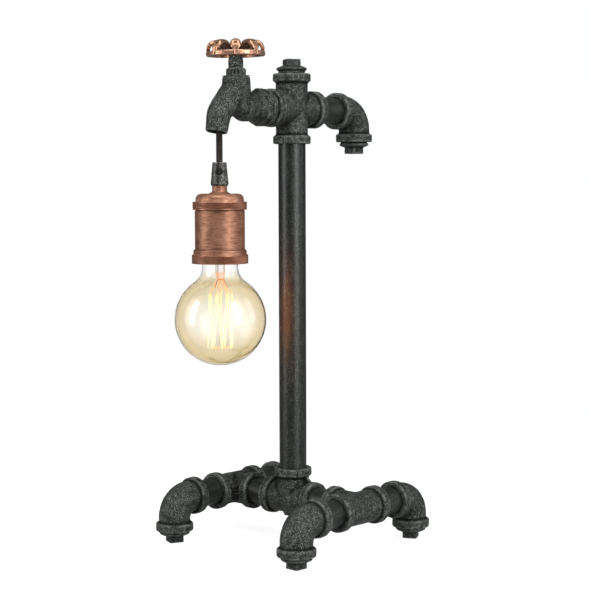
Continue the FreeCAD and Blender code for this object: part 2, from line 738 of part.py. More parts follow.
shade_foot = step_foot + shade_ring_height
shade_bore = shell_thread_radius + thread_gap
pieces["shade_ring"] = hung(turned([
    (shade_bore, step_foot), (shade_ring_radius, step_foot, ring_round),
    (shade_ring_radius, shade_foot, ring_round), (shade_ring_opening, shade_foot),
    (shade_ring_opening, shade_foot - shade_ring_lip),
    (shade_bore, shade_foot - shade_ring_lip)]))

insulator_foot = insulator_top + insulator_length
cavity = contact_shell_radius + thread_gap
core = turned([(0, insulator_top), (insulator_radius, insulator_top, 2.0),
               (insulator_radius, insulator_foot, 1.0), (cavity, insulator_foot),
               (cavity, contact_shell_top), (0, contact_shell_top)])
core = core.cut(rod(entry_bore, insulator_top - 1, insulator_top + 3))
for sign in (-1, 1):
    core = core.cut(aimed(rod(terminal_shank_radius + thread_gap, -1, terminal_shank + 1),
                          Vector(sign * terminal_spread, 0, insulator_top), Z))
pieces["lamp_insulator"] = hung(core)

contact_foot = contact_shell_top + contact_shell_length
contact_bore = contact_shell_radius - contact_shell_wall
pieces["socket_shell"] = hung(tube(contact_shell_radius, contact_bore,
                                   contact_shell_top, contact_foot))
tongue = Part.makeBox(tongue_length, tongue_width, tongue_height,
                      Vector(-tongue_length / 2, -tongue_width / 2, contact_shell_top))
pieces["centre_contact"] = hung(tongue.fuse(rod(tip_radius, contact_shell_top,
                                                contact_shell_top + 2 * tongue_height)))
screws = []
for sign in (-1, 1):
    head = rod(terminal_screw_radius, insulator_top - terminal_screw_head, insulator_top)
    shank = rod(terminal_shank_radius, insulator_top - 0.1, insulator_top + terminal_shank)
    one = head.fuse(shank)
    one.translate(Vector(sign * terminal_spread, 0, 0))
    screws.append(one)
pieces["terminal_screws"] = hung(Part.Compound(screws))

holder_lead = rod(cord_radius, pivot_sink, insulator_top + 2.5)
pieces["holder_lead"] = hung(holder_lead.cut(Part.makeSphere(cup, Vector(0, 0, pivot_sink))))

# ---------------------------------------------------------------- bulb
glass_centre = globe_top + glass_radius
tip_top = contact_shell_top + 2 * tongue_height + bulb_play
button_top = tip_top + tip_height
cap_start = button_top + button_height
cap_foot = cap_start + bulb_cap_length
pieces["bulb_tip"] = hung(turned([(0, tip_top), (tip_radius, tip_top, 0.8),
                                  (tip_radius, button_top - cord_gap),
                                  (0, button_top - cord_gap)]))
cap_inside = bulb_cap_radius - bulb_cap_wall
cap_opening = tip_radius + 0.7
pieces["bulb_cap"] = hung(turned([
    (cap_opening, cap_start), (button_radius + 0.3, cap_start),
    (bulb_cap_radius, cap_start + 2.0), (bulb_cap_radius, cap_foot), (cap_inside, cap_foot),
    (cap_inside, cap_start + bulb_cap_wall + 2.0),
    (cap_opening, cap_start + bulb_cap_wall + 2.0)]))


def globe_profile(radius, neck, throat, top, waist):
    """Half outline of the envelope: throat in the cap, neck, waist arc and globe."""
    centre = Vector(0, 0, glass_centre)
    # The waist arc is tangent to the neck's line and to the globe.
    arc_x = neck + waist
    arc_z = glass_centre - math.sqrt((radius + waist) ** 2 - arc_x ** 2)
    arc_centre = Vector(arc_x, 0, arc_z)
    touch = centre + (arc_centre - centre).normalize() * radius
    neck_point = Vector(neck, 0, arc_z)
    toward = ((touch - arc_centre) + (neck_point - arc_centre)).normalize()
    bottom = Vector(0, 0, glass_centre + radius)
    side = centre + Vector(1, 0, 0.35).normalize() * radius
    shoulder = Vector(neck, 0, min(top + glass_inset + glass_shoulder, arc_z - 0.4))
    lip = Vector(throat, 0, top + glass_inset)
    return [Part.LineSegment(Vector(throat, 0, top), lip).toShape(),
            Part.LineSegment(lip, shoulder).toShape(),
            Part.LineSegment(shoulder, neck_point).toShape(),
            Part.Arc(neck_point, arc_centre + toward * waist, touch).toShape(),
            Part.Arc(touch, side, bottom).toShape()]


def glass_envelope():
    top = cap_foot - glass_inset
    throat = cap_inside - thread_gap
    outer = globe_profile(glass_radius, glass_neck_radius, throat, top, glass_waist_round)
    inner = globe_profile(glass_radius - glass_wall, glass_neck_radius - glass_wall,
                          throat - glass_wall, top, glass_waist_round + glass_wall)
    rim = Part.LineSegment(Vector(throat - glass_wall, 0, top), Vector(throat, 0, top))
    foot = Part.LineSegment(Vector(0, 0, glass_centre + glass_radius),
                            Vector(0, 0, glass_centre + glass_radius - glass_wall))
    edges = outer + inner + [rim.toShape(), foot.toShape()]
    face = Part.Face(Part.Wire(Part.__sortEdges__(edges)))
    return face.revolve(Vector(), Z, 360)


pieces["bulb_glass"] = hung(glass_envelope())

mount_top = cap_foot - glass_inset + 1.0
flare = cap_inside - thread_gap - glass_wall - cord_gap
mount = turned([(0, mount_top), (flare, mount_top), (mount_stem_radius, mount_top + 8.0),
                (mount_stem_radius, mount_stem_foot, 1.5), (mount_rod_radius, mount_stem_foot),
                (mount_rod_radius, mount_rod_foot, 0.9), (0, mount_rod_foot)])


def wire_piece(start, stop, radius):
    return aimed(rod(radius, 0, start.distanceToPoint(stop)), start, (stop - start).normalize())


def polar(radius, degrees, depth):
    angle = math.radians(degrees)
    return Vector(radius * math.cos(angle), radius * math.sin(angle), depth)


def wire_run(points):
    """Wire with straight runs between points and a ball at each bend."""
    runs = [wire_piece(a, b, lead_wire_radius) for a, b in zip(points, points[1:])]
    balls = [Part.makeSphere(lead_wire_radius, point) for point in points[1:-1]]
    return fused(runs + balls)


# Two lead-in wires feed the filament: one from the tip, one from the cap's side.  They
# stand in for an upper hook each; the other hooks stand out of the glass rod like spokes.
half_count = filament_strands // 2
strand_turn = 360.0 / filament_strands
upper_turns = [2 * strand_turn * k for k in range(half_count)]
lower_turns = [2 * strand_turn * k + strand_turn for k in range(half_count)]
far_lead = half_count // 2 + 1
starts = {0: [polar(lead_wire_spread, 0, button_top)],
          far_lead: [polar(cap_inside - 0.3, upper_turns[far_lead], cap_start + 7.0),
                     polar(lead_wire_spread, upper_turns[far_lead], mount_top - 0.6)]}
lead_wires = [wire_run(points + [polar(lead_wire_spread, upper_turns[k], mount_stem_foot),
                                 polar(upper_hook_spread, upper_turns[k], upper_hook_depth)])
              for k, points in starts.items()]
pieces["lead_in_wires"] = hung(Part.Compound(lead_wires))
button = turned([(0, button_top), (tip_radius + 1.2, button_top), (button_radius, cap_start),
                 (0, cap_start)])
pieces["bulb_insulator"] = hung(button.cut(lead_wires[0]))

hooks = [(upper_hook_depth, upper_hook_spread, turn) for k, turn in enumerate(upper_turns)
         if k not in starts]
hooks += [(lower_hook_depth, lower_hook_spread, turn) for turn in lower_turns]
hook_wires = [wire_piece(polar(mount_rod_radius - 0.4, turn, depth), polar(spread, turn, depth),
                         hook_wire_radius) for depth, spread, turn in hooks]
pieces["support_wires"] = hung(Part.Compound(hook_wires))
pieces["glass_mount"] = hung(mount.cut(lead_wires + hook_wires))

strands = []
for k in range(filament_strands):
    upper = polar(upper_hook_spread, 2 * strand_turn * ((k + 1) // 2), upper_hook_depth)
    lower = polar(lower_hook_spread, strand_turn * (2 * (k // 2) + 1), lower_hook_depth)
    way = (lower - upper).normalize()
    clear = way * (hook_wire_radius + filament_radius)
    strands.append(wire_piece(upper + clear, lower - clear, filament_radius))
pieces["filament"] = hung(fused(strands))

# ---------------------------------------------------------------- files
for name, shape in pieces.items():
    shape.exportStep(os.path.join("parts", f"{name}.step"))
    print(f"{name}: {len(shape.Solids)} solid(s), {shape.Volume / 1000:.2f} cm3, "
          f"valid {shape.isValid()}")
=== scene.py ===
# %% [markdown]
# # A table lamp made of iron pipe
# The lamp is a stand of screwed pipe fittings.  A water tap on top carries a copper
# handwheel, and from the tap's spout a short cord holds a copper lampholder with a globe
# bulb.  The engineering model of the lamp is loaded first and stays fixed.  Most finer
# pieces made here take the place of one of its nodes, at the same size and in the same
# spot, and ride on the same moving body.

# %% Load the fixed frame
import json
import math

import bmesh
import bpy
import numpy as np
from mathutils import Matrix, Vector, noise
from mathutils.bvhtree import BVHTree

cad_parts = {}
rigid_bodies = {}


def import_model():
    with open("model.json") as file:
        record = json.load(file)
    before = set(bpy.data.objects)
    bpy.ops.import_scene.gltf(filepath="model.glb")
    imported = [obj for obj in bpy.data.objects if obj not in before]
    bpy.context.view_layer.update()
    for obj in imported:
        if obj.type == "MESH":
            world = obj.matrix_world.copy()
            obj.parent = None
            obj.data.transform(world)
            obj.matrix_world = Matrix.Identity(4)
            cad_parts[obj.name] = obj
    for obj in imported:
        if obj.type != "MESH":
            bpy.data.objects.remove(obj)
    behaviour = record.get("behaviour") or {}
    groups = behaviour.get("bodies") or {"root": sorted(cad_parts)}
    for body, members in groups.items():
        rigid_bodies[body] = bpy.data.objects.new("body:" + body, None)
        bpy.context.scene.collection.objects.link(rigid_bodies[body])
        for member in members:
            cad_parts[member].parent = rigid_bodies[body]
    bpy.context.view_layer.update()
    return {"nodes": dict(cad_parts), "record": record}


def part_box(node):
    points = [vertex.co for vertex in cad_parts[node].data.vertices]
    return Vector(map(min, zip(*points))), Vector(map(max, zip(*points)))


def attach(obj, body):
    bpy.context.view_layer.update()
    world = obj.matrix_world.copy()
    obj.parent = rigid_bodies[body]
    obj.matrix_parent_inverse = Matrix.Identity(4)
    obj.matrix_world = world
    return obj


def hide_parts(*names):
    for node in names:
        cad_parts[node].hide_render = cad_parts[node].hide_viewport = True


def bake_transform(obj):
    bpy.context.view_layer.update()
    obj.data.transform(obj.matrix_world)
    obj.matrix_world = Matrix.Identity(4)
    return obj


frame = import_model()
cad_nodes = frame["nodes"]
MM = 0.001
X, Y, Z = Vector((1, 0, 0)), Vector((0, 1, 0)), Vector((0, 0, 1))
print("nodes in the frame:", len(cad_nodes))

# %% [markdown]
# ## Where things are
# All lengths are in millimetres in the plan of the lamp, and `MM` turns them into Blender's
# metres.  The lamp stands on z = 0, the column's axis is the origin, and the tap hangs out
# on the -X side.  The tap's boss leans a little outwards, and so do all the pieces on it.

# %% Heights and axes of the main pieces
BASE_Z = 39.5
CROSS_Z = BASE_Z + 358.3
ARM_OUT, RAIL_OUT, FOOT_OUT = 87.8, 76.1, 79.3
BOSS_OUT, BOSS_LEAN = 71.6, math.radians(1.2)
HANG_OUT = 93.4
CORD_TOP_Z = CROSS_Z - 22.3
GRIP_TOP_Z = CROSS_Z - 49.2
CORD_FOOT_Z = GRIP_TOP_Z - 0.6
SCREW_TURN = math.radians(222.4)
boss_way = Vector((-math.sin(BOSS_LEAN), 0, math.cos(BOSS_LEAN)))
boss_foot = Vector((-BOSS_OUT, 0, CROSS_Z))
hang_top = Vector((-HANG_OUT, 0, GRIP_TOP_Z))
print("top of the cord grip at", round(GRIP_TOP_Z, 1), "mm")

# %% [markdown]
# ## The camera comes first
# The viewpoint is level with the lampholder's cap and about 1.4 m away, through a long lens,
# and the view is turned 47.6 degrees from the Y axis.  The camera's axes are worked out from
# three angles, so that each can be changed by itself.

# %% Camera
def new_object(name, data):
    item = bpy.data.objects.new(name, data)
    bpy.context.scene.collection.objects.link(item)
    return item


IMAGE_SIZE, FOCAL_PIXELS, SENSOR = 589, 1536.5, 36.0
EYE = Vector((-1040.0, -951.1, 329.06))
yaw, pitch, roll = (math.radians(turn) for turn in (47.634, 4.093, -0.197))

look = Vector((math.sin(yaw) * math.cos(pitch), math.cos(yaw) * math.cos(pitch),
               -math.sin(pitch)))
level = Vector((math.cos(yaw), -math.sin(yaw), 0))
above = level.cross(look)
right = level * math.cos(roll) + above * math.sin(roll)
up = above * math.cos(roll) - level * math.sin(roll)

camera = new_object("camera", bpy.data.cameras.new("camera"))
camera.data.sensor_width = SENSOR
camera.data.lens = SENSOR * FOCAL_PIXELS / IMAGE_SIZE
camera.data.clip_start = 0.05
camera_axes = Matrix((right, up, -look)).transposed().to_4x4()
camera.matrix_world = Matrix.Translation(EYE * MM) @ camera_axes
bpy.context.scene.camera = camera
print("lens", round(camera.data.lens, 1), "mm")

# %% [markdown]
# ## Small tools for meshes
# Most of the lamp is turned, cast or knurled.  The first tool makes a closed outline of
# radius and height, and the second spins it into a piece.  They build the vertices
# directly, because a lathe shape needs even rings and clean poles.

# %% Outline and lathe
def outline(points, steps=6):
    """Closed loop of (radius, height).  A third number rounds that corner."""
    loop = []
    for i, point in enumerate(points):
        here = Vector(point[:2])
        if len(point) < 3:
            loop.append(here)
            continue
        back = (Vector(points[i - 1][:2]) - here).normalized()
        ahead = (Vector(points[(i + 1) % len(points)][:2]) - here).normalized()
        half = back.angle(ahead) / 2
        centre = here + (back + ahead).normalized() * (point[2] / math.sin(half))
        first, last = (here + way * (point[2] / math.tan(half)) - centre
                       for way in (back, ahead))
        loop += [centre + first.lerp(last, k / steps).normalized() * point[2]
                 for k in range(steps + 1)]
    return loop


def made_of(name, vertices, edges=(), faces=()):
    mesh = bpy.data.meshes.new(name)
    mesh.from_pydata(vertices, edges, faces)
    return new_object(name, mesh)


def smooth(piece, sharp_degrees):
    """Shade smooth except at sharp edges."""
    piece.data.shade_smooth()
    piece.data.set_sharp_from_angle(angle=math.radians(sharp_degrees))


def turned(name, points, segments=96, steps=6):
    """Spin an outline into a piece, with doubles merged and faces pointing outwards."""
    loop = outline(points, steps)
    count = len(loop)
    vertices, faces = [], []
    for s in range(segments):
        angle = 2 * math.pi * s / segments
        vertices += [(radius * math.cos(angle) * MM, radius * math.sin(angle) * MM, height * MM)
                     for radius, height in loop]
        here, there = s * count, (s + 1) % segments * count
        for i in range(count):
            j = (i + 1) % count
            if loop[i].x > 1e-6 or loop[j].x > 1e-6:
                faces.append((here + i, there + i, there + j, here + j))
    piece = made_of(name, vertices, faces=faces)
    bm = bmesh.new()
    bm.from_mesh(piece.data)
    bmesh.ops.remove_doubles(bm, verts=bm.verts, dist=1e-7)
    bmesh.ops.dissolve_degenerate(bm, edges=bm.edges, dist=1e-8)
    bmesh.ops.recalc_face_normals(bm, faces=bm.faces)
    bm.to_mesh(piece.data)
    bm.free()
    smooth(piece, 40)
    return piece


def placed(piece, origin, direction=Z):
    """Point a piece made about +Z along a direction and move it, in its mesh."""
    if direction.z < -0.999:
        turn = Matrix.Rotation(math.pi, 4, "X")
    else:
        turn = Z.rotation_difference(direction).to_matrix().to_4x4()
    piece.data.transform(Matrix.Translation(origin * MM) @ turn)
    return piece


def hung(piece):
    """Lampholder pieces are made with their height as depth below the cord grip's top."""
    return placed(piece, hang_top, -Z)


# %% [markdown]
# A piece that is ready is handed over with one call: it rides on a body, stands in for a
# node, and names the finish that it wears.  A piece that still has modifiers is first
# turned into one plain mesh.

# %% Hand a piece over
def body_with(node):
    return next(name for name, members in frame["record"]["behaviour"]["bodies"].items()
                if node in members)


def hand_over(piece, node, material):
    piece.data.materials.clear()
    piece.data.materials.append(material)
    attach(piece, body_with(node))
    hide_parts(node)
    return piece


def baked(piece):
    """Turn a piece and its modifiers into one plain mesh."""
    graph = bpy.context.evaluated_depsgraph_get()
    mesh = bpy.data.meshes.new_from_object(piece.evaluated_get(graph))
    piece.modifiers.clear()
    old, piece.data = piece.data, mesh
    bpy.data.meshes.remove(old)
    return piece


def modified(piece, kind, **settings):
    modifier = piece.modifiers.new(kind.lower(), kind)
    for key, value in settings.items():
        setattr(modifier, key, value)
    return baked(piece)


def milled(piece, size, centre, twist):
    """Take a box, in millimetres, out of a piece, as a mill does."""
    bm = bmesh.new()
    bmesh.ops.create_cube(bm, size=1.0)
    mesh = bpy.data.meshes.new("cutter")
    bm.to_mesh(mesh)
    bm.free()
    mesh.transform(Matrix.Rotation(math.radians(twist), 4, "Z")
                   @ Matrix.Translation(Vector(centre) * MM)
                   @ Matrix.Diagonal((*(Vector(size) * MM), 1)))
    cutter = new_object("cutter", mesh)
    modified(piece, "BOOLEAN", operation="DIFFERENCE", solver="EXACT", object=cutter)
    bpy.data.meshes.remove(mesh)
    smooth(piece, 35)


# %% [markdown]
# ## Node helpers
# The same little helpers serve shader trees and geometry trees.  They draw in the tree that
# was started last, so it needn't be named each time.  A `Value` is one output of a node, and
# a sum written with values draws the Math nodes for it.

# %% Values
class Value:
    def __init__(self, socket):
        self.socket = socket

    def __add__(self, other):
        return calc("ADD", self, other)

    def __sub__(self, other):
        return calc("SUBTRACT", self, other)

    def __mul__(self, other):
        return calc("MULTIPLY", self, other)

    def __truediv__(self, other):
        return calc("DIVIDE", self, other)

    def __rtruediv__(self, other):
        return calc("DIVIDE", other, self)


# %% Add a node
def plug(node, inputs):
    """Link or set a node's inputs.  A plain colour is three numbers."""
    for key, value in inputs.items():
        socket = node.inputs[key.replace("_", " ") if isinstance(key, str) else key]
        if isinstance(value, Value):
            tree.links.new(value.socket, socket)
        else:
            socket.default_value = (*value, 1) if socket.type == "RGBA" else value
    return node


def add(kind, inputs=None, **settings):
    shared = kind.startswith(("Geometry", "NodeGroup"))
    node = tree.nodes.new(kind if shared else f"ShaderNode{kind}")
    for key, value in settings.items():
        setattr(node, key, value)
    return plug(node, inputs or {})


def out(kind, inputs=None, which=0, **settings):
    return Value(add(kind, inputs, **settings).outputs[which])


# %% Sums, vectors, mixes and noise
def calc(operation, *values):
    return out("Math", dict(enumerate(values)), operation=operation)


def vector(operation, *values, **named):
    inputs = {**dict(enumerate(values)), **named}
    return out("VectorMath", inputs, 1 if operation == "LENGTH" else 0, operation=operation)


def split(place):
    return [Value(socket) for socket in add("SeparateXYZ", {0: place}).outputs]


def joined(*values):
    return out("CombineXYZ", dict(enumerate(values)))


def ramp(value, low, high, to_low=0.0, to_high=1.0):
    """Smoothly map a value between two limits."""
    return out("MapRange", {"Value": value, "From Min": low, "From Max": high,
                            "To Min": to_low, "To Max": to_high},
               interpolation_type="SMOOTHSTEP")


def mix(factor, a, b):
    """Mix two colours."""
    return out("Mix", {"Factor": factor, 6: a, 7: b}, 2, data_type="RGBA")


def clouds(place, scale, detail=2.0, roughness=0.5):
    return out("TexNoise", {"Vector": place, "Scale": scale, "Detail": detail,
                            "Roughness": roughness})


def object_place():
    return out("TexCoord", which="Object")


# %% [markdown]
# A group is a tree with named sockets.  Starting one gives back its inputs as values, and
# ending it plugs its outputs.

# %% Node groups
FLOAT, COLOUR, WHOLE = "NodeSocketFloat", "NodeSocketColor", "NodeSocketInt"
SHAPE, PAINT = "NodeSocketGeometry", "NodeSocketMaterial"


def start_group(name, inputs, outputs, kind="ShaderNodeTree"):
    global tree
    tree = bpy.data.node_groups.new(name, kind)
    for side, sockets in (("INPUT", inputs), ("OUTPUT", outputs)):
        for label, socket_kind in sockets.items():
            tree.interface.new_socket(label, in_out=side, socket_type=socket_kind)
    given = add("NodeGroupInput").outputs
    return [Value(socket) for socket in given[:len(inputs)]]


def end_group(**outputs):
    plug(add("NodeGroupOutput"), outputs)
    print("made:", tree.name)
    return tree


# %% [markdown]
# ## Rules as geometry trees
# Threads, knurling and the lamp's wires follow rules, so Geometry Nodes make them.  Each
# tree takes a plain mesh and named sizes in metres, and gives the finished one.  Both the
# thread and the knurl start from a lathe piece with rows of points close together, and
# push points straight in towards the axis, which keeps the mesh closed.

# %% Parts that every rule needs
def start_rule(name, **sizes):
    inputs = {"Geometry": SHAPE, **sizes, "Material": PAINT}
    return start_group(name, inputs, {"Geometry": SHAPE}, "GeometryNodeTree")


def end_rule(geometry, paint):
    whole = out("GeometryNodeRealizeInstances", {"Geometry": geometry})
    return end_group(Geometry=out("GeometryNodeSetMaterial",
                                  {"Geometry": whole, "Material": paint}))


def apply_rule(piece, rule, **values):
    modifier = piece.modifiers.new(rule.name, "NODES")
    modifier.node_group = rule
    for item in rule.interface.items_tree:
        if item.in_out == "INPUT" and item.name in values:
            modifier[item.identifier] = values[item.name]
    return baked(piece)


def round_axis():
    """Where a point lies round the Z axis: way out, radius, angle and height."""
    x, y, z = split(out("GeometryNodeInputPosition"))
    flat = joined(x, y)
    return vector("NORMALIZE", flat), vector("LENGTH", flat), calc("ARCTAN2", y, x), z


def push_in(geometry, selection, way, depth):
    offset = vector("SCALE", way, Scale=depth * -1.0)
    return out("GeometryNodeSetPosition", {"Geometry": geometry, "Selection": selection,
                                           "Offset": offset})


# %% [markdown]
# A rolled lamp thread is a sine wave that climbs one pitch for each turn.  The angle round
# the axis is taken from the height before the cosine, so the wave winds to the right, and
# it fades out over half a pitch at both ends.

# %% Rule: screw thread
shape, core, low, high, pitch, depth, paint = start_rule(
    "screw thread", Radius=FLOAT, Low=FLOAT, High=FLOAT, Pitch=FLOAT, Depth=FLOAT)
way, radius, angle, height = round_axis()
groove = calc("COSINE", height / pitch * (2 * math.pi) - angle) * -0.5 + 0.5
fade = (ramp(height, low, pitch * 0.5 + low)
        * ramp(height, pitch * -0.5 + high, high, 1.0, 0.0))
outside = calc("GREATER_THAN", radius, core)
thread_rule = end_rule(push_in(shape, outside, way, fade * (groove * depth)), paint)

# %% [markdown]
# Knurling is pressed into a ring by two rollers, which leaves rows of little pyramids.  In
# a grid of points, every second point is pushed in, as on a chessboard, and the quads are
# cut along their short diagonal.  Each point that stayed out is then a pyramid's tip.

# %% Rule: diamond knurl
shape, core, low, step, around, depth, paint = start_rule(
    "diamond knurl", Radius=FLOAT, Low=FLOAT, Step=FLOAT, Around=WHOLE, Depth=FLOAT)
way, radius, angle, height = round_axis()
column = calc("ROUND", around * (angle / (2 * math.pi)))
row = calc("ROUND", (height - low) / step)
parity = calc("FLOORED_MODULO", column + row, 2.0)
outside = calc("GREATER_THAN", radius, core)
facets = out("GeometryNodeTriangulate", {0: push_in(shape, outside, way, parity * depth)},
             quad_method="SHORTEST_DIAGONAL")
knurl_rule = end_rule(facets, paint)

# %% [markdown]
# Drawn wire is never dead straight.  This rule takes a chain of edges, splits it into short
# steps, shifts them with noise and sweeps a small circle along it.  The hooks at its bends
# hold it, so the shift is small.

# %% Rule: drawn wire
shape, thickness, step, sway, seed, paint = start_rule(
    "drawn wire", Radius=FLOAT, Step=FLOAT, Sway=FLOAT, Seed=FLOAT)
chain = out("GeometryNodeMeshToCurve", {0: shape})
fine = out("GeometryNodeResampleCurve", {"Curve": chain, "Length": step}, mode="LENGTH")
field = out("TexNoise", {"Vector": out("GeometryNodeInputPosition"), "W": seed,
                         "Scale": 130.0, "Detail": 1.0}, "Color", noise_dimensions="4D")
shift = vector("SCALE", vector("SUBTRACT", field, (0.5, 0.5, 0.5)), Scale=sway)
bent = out("GeometryNodeSetPosition", {"Geometry": fine, "Offset": shift})
ring = out("GeometryNodeCurvePrimitiveCircle", {"Resolution": 8, "Radius": thickness})
swept = out("GeometryNodeCurveToMesh", {"Curve": bent, "Profile Curve": ring,
                                        "Fill Caps": True})
wire_rule = end_rule(swept, paint)

# %% [markdown]
# ## Shader groups
# Effects that more than one finish uses are node groups: the speckle of cast iron, the wear
# on edges with painted shade in creases, the fine rings of brushed metal, and the faint
# unevenness of small plain parts.
# All of them read Object coordinates, so a pattern has the same size on every piece.

# %% [markdown]
# Cast iron that has been oiled and rubbed is nearly black with a green cast, peppered with
# paler grains about a millimetre wide, and the grains gather in patches.  Fine noise gives
# the grains, coarse noise says where they gather, and small cells pit the skin.

# %% Group: speckle of cast iron
dark, light, size, amount = start_group(
    "iron speckle", {"Dark": COLOUR, "Light": COLOUR, "Grain size": FLOAT, "Amount": FLOAT},
    {"Color": COLOUR, "Grain": FLOAT, "Height": FLOAT})
place = object_place()
pits = ramp(out("TexVoronoi", {"Vector": place, "Scale": 420.0}), 0.12, 0.34)
gather = ramp(clouds(place, 130.0, 3.0, 0.6), 0.36, 0.66, -0.015, 0.015)
lifted = clouds(place, 1000.0 / size, 4.0, 0.72) + gather
grains = ramp(lifted, 0.53, 0.635) * pits
speckle = end_group(Color=mix(grains * amount, dark, light), Grain=grains,
                    Height=pits * 0.35 + lifted)

# %% [markdown]
# Handling rubs the dark finish off edges, and creases and corners get painted shade.  The
# meshes carry two attributes, `raised` and `sunk`, which say how far each point stands out of
# its surroundings.  The group breaks the wear up with noise, so that wear looks worn and not
# drawn, and passes `sunk` on as the mask for painted shade.

# %% Group: wear on edges and painted shade in creases
amount, size = start_group("edge wear", {"Amount": FLOAT, "Patch size": FLOAT},
                           {"Worn": FLOAT, "Hollow": FLOAT})
raised, sunk = (out("Attribute", which="Fac", attribute_name=label)
                for label in ("raised", "sunk"))
rub = ramp(clouds(object_place(), 1000.0 / size, 4.0), 0.38, 0.62, 0.1, 1.0)
# The second output is painted shade for creases and corners, taken from `sunk`.
wear_and_shade = end_group(Worn=raised * rub * amount, Hollow=sunk)

# %% [markdown]
# Brushed copper is spun against a wire wheel, so it is covered in hair-fine rings about its
# own axis.  Noise is read at a point on a unit circle, with the height stretched a
# thousandfold: that makes long streaks round the piece, with no seam at the back.

# %% Group: rings of brushed metal
(axis_x,) = start_group("brushed rings", {"Axis X": FLOAT}, {"Streak": FLOAT, "Cloud": FLOAT})
place = object_place()
x, y, z = split(place)
east, north, _ = split(vector("NORMALIZE", joined(x - axis_x, y)))
streak = clouds(joined(east * 2.2, north * 2.2, z * 1500.0), 1.0, 4.0, 0.75)
brushed = end_group(Streak=streak, Cloud=clouds(place, 110.0, 3.0))

# %% [markdown]
# Small plain parts, such as rubber, ceramic and brass contacts, are never one flat colour.
# One group makes a soft cloud and a fine grain between two near colours.

# %% Group: fine grain
color_a, color_b, size = start_group(
    "fine grain", {"Color A": COLOUR, "Color B": COLOUR, "Size": FLOAT},
    {"Color": COLOUR, "Grain": FLOAT})
place = object_place()
mixed = ramp(clouds(place, 1000.0 / size, 3.0) * 0.6 + clouds(place, 160.0) * 0.4, 0.38, 0.62)
grainy = end_group(Color=mix(mixed, color_a, color_b), Grain=mixed)

# %% [markdown]
# ## Finishes
# Every finish starts from the same small frame: a Principled shader, and a bump in front of
# its normal.  Values that are the same all over the surface are set on the shader itself.

# %% Start of a finish
def new_finish(name, **fixed):
    global tree
    material = bpy.data.materials.new(name)
    material.use_nodes = True
    tree = material.node_tree
    return material, plug(tree.nodes["Principled BSDF"], fixed)


def use(group, *values):
    """Place a group with its inputs in order, and return its outputs in order."""
    node = add("Group", dict(enumerate(values)), node_tree=group)
    return [Value(socket) for socket in node.outputs]


def bump(shader, height, depth_mm):
    normal = out("Bump", {"Height": height, "Strength": 1.0, "Distance": depth_mm * MM})
    plug(shader, {"Normal": normal})


# %% [markdown]
# Four iron finishes share one recipe: the rough castings, the smoother pipe, the small
# machined pieces of the tap's bonnet, and the cord grip's gunmetal.  Only their colours,
# grain, wear and gloss differ.

# %% Iron finishes
def iron(name, dark, light, grain, amount, worn_colour, worn_amount, rough, depth, shine):
    material, shader = new_finish(name, Specular_IOR_Level=shine)
    colour, grains, height = use(speckle, dark, light, grain, amount)
    worn, crease_shade = use(wear_and_shade, worn_amount, 4.0)
    colour = mix(worn, colour, worn_colour)
    # Painted shade: the colour is darkened in creases and corners.
    dimmed = vector("SCALE", colour, Scale=ramp(crease_shade, 0.0, 0.6, 1.0, 0.05))
    gloss = ramp(grains, 0.0, 1.0, rough, rough - 0.16)
    plug(shader, {"Base Color": dimmed, "Roughness": gloss + ramp(crease_shade, 0.0, 0.8, 0.0, 0.35)})
    bump(shader, height, depth)
    return material


cast_iron = iron("cast iron", (0.0025, 0.0037, 0.0033), (0.275, 0.32, 0.28), 0.92, 0.9,
                 (0.17, 0.189, 0.167), 0.7, 0.42, 0.45, 0.26)
pipe_iron = iron("pipe", (0.0035, 0.0046, 0.0041), (0.125, 0.146, 0.122), 0.95, 0.85,
                 (0.12, 0.13, 0.11), 0.4, 0.34, 0.2, 0.4)
bonnet_iron = iron("bonnet iron", (0.006, 0.008, 0.007), (0.5, 0.55, 0.48), 1.0, 0.9,
                   (0.3, 0.32, 0.28), 1.0, 0.38, 0.3, 0.4)
gunmetal = iron("gunmetal", (0.009, 0.01, 0.0085), (0.3, 0.305, 0.28), 1.0, 0.95,
                (0.36, 0.36, 0.33), 0.7, 0.38, 0.2, 0.4)
print("iron finishes:", cast_iron.name, pipe_iron.name, bonnet_iron.name, gunmetal.name)

# %% [markdown]
# The handwheel is cast, then polished and aged: bright copper on the rim and browner on the
# petals.  Its hollows are dark with patina and painted shade, and its low middle, seen
# through the windows between the petals, is painted dark as shade.

# %% Handwheel copper
wheel_copper, shader = new_finish("aged copper", Metallic=0.9)
worn, crease_shade = use(wear_and_shade, 1.0, 6.0)
colour, _, height = use(speckle, (0.46, 0.235, 0.15), (0.72, 0.46, 0.34), 1.6, 0.9)
colour = mix(worn, colour, (0.9, 0.64, 0.49))
# Painted shade, with some patina: the hollows are darkened.
colour = mix(ramp(crease_shade, 0.0, 0.6), colour, (0.055, 0.035, 0.02))
x, y, z = split(vector("SUBTRACT", object_place(), boss_foot * MM))
colour = mix(ramp(z, 0.0485, 0.0525, 0.0, 0.62), colour, (0.27, 0.155, 0.085))
reach = vector("LENGTH", joined(x, y))
# Painted shade: the low middle behind the petals is darkened.
shaded_middle = ramp(z, 0.0505, 0.0565, 1.0, 0.0) * ramp(reach, 0.018, 0.0225, 0.9, 0.0)
plug(shader, {"Base Color": mix(shaded_middle, colour, (0.09, 0.045, 0.025)),
              "Roughness": ramp(crease_shade, 0.0, 1.0, 0.4, 0.65)})
bump(shader, height, 0.1)
print("finish made:", wheel_copper.name)

# %% [markdown]
# The lampholder is spun sheet, brushed in rings and left a little milky.  Its grooves get
# painted shade.

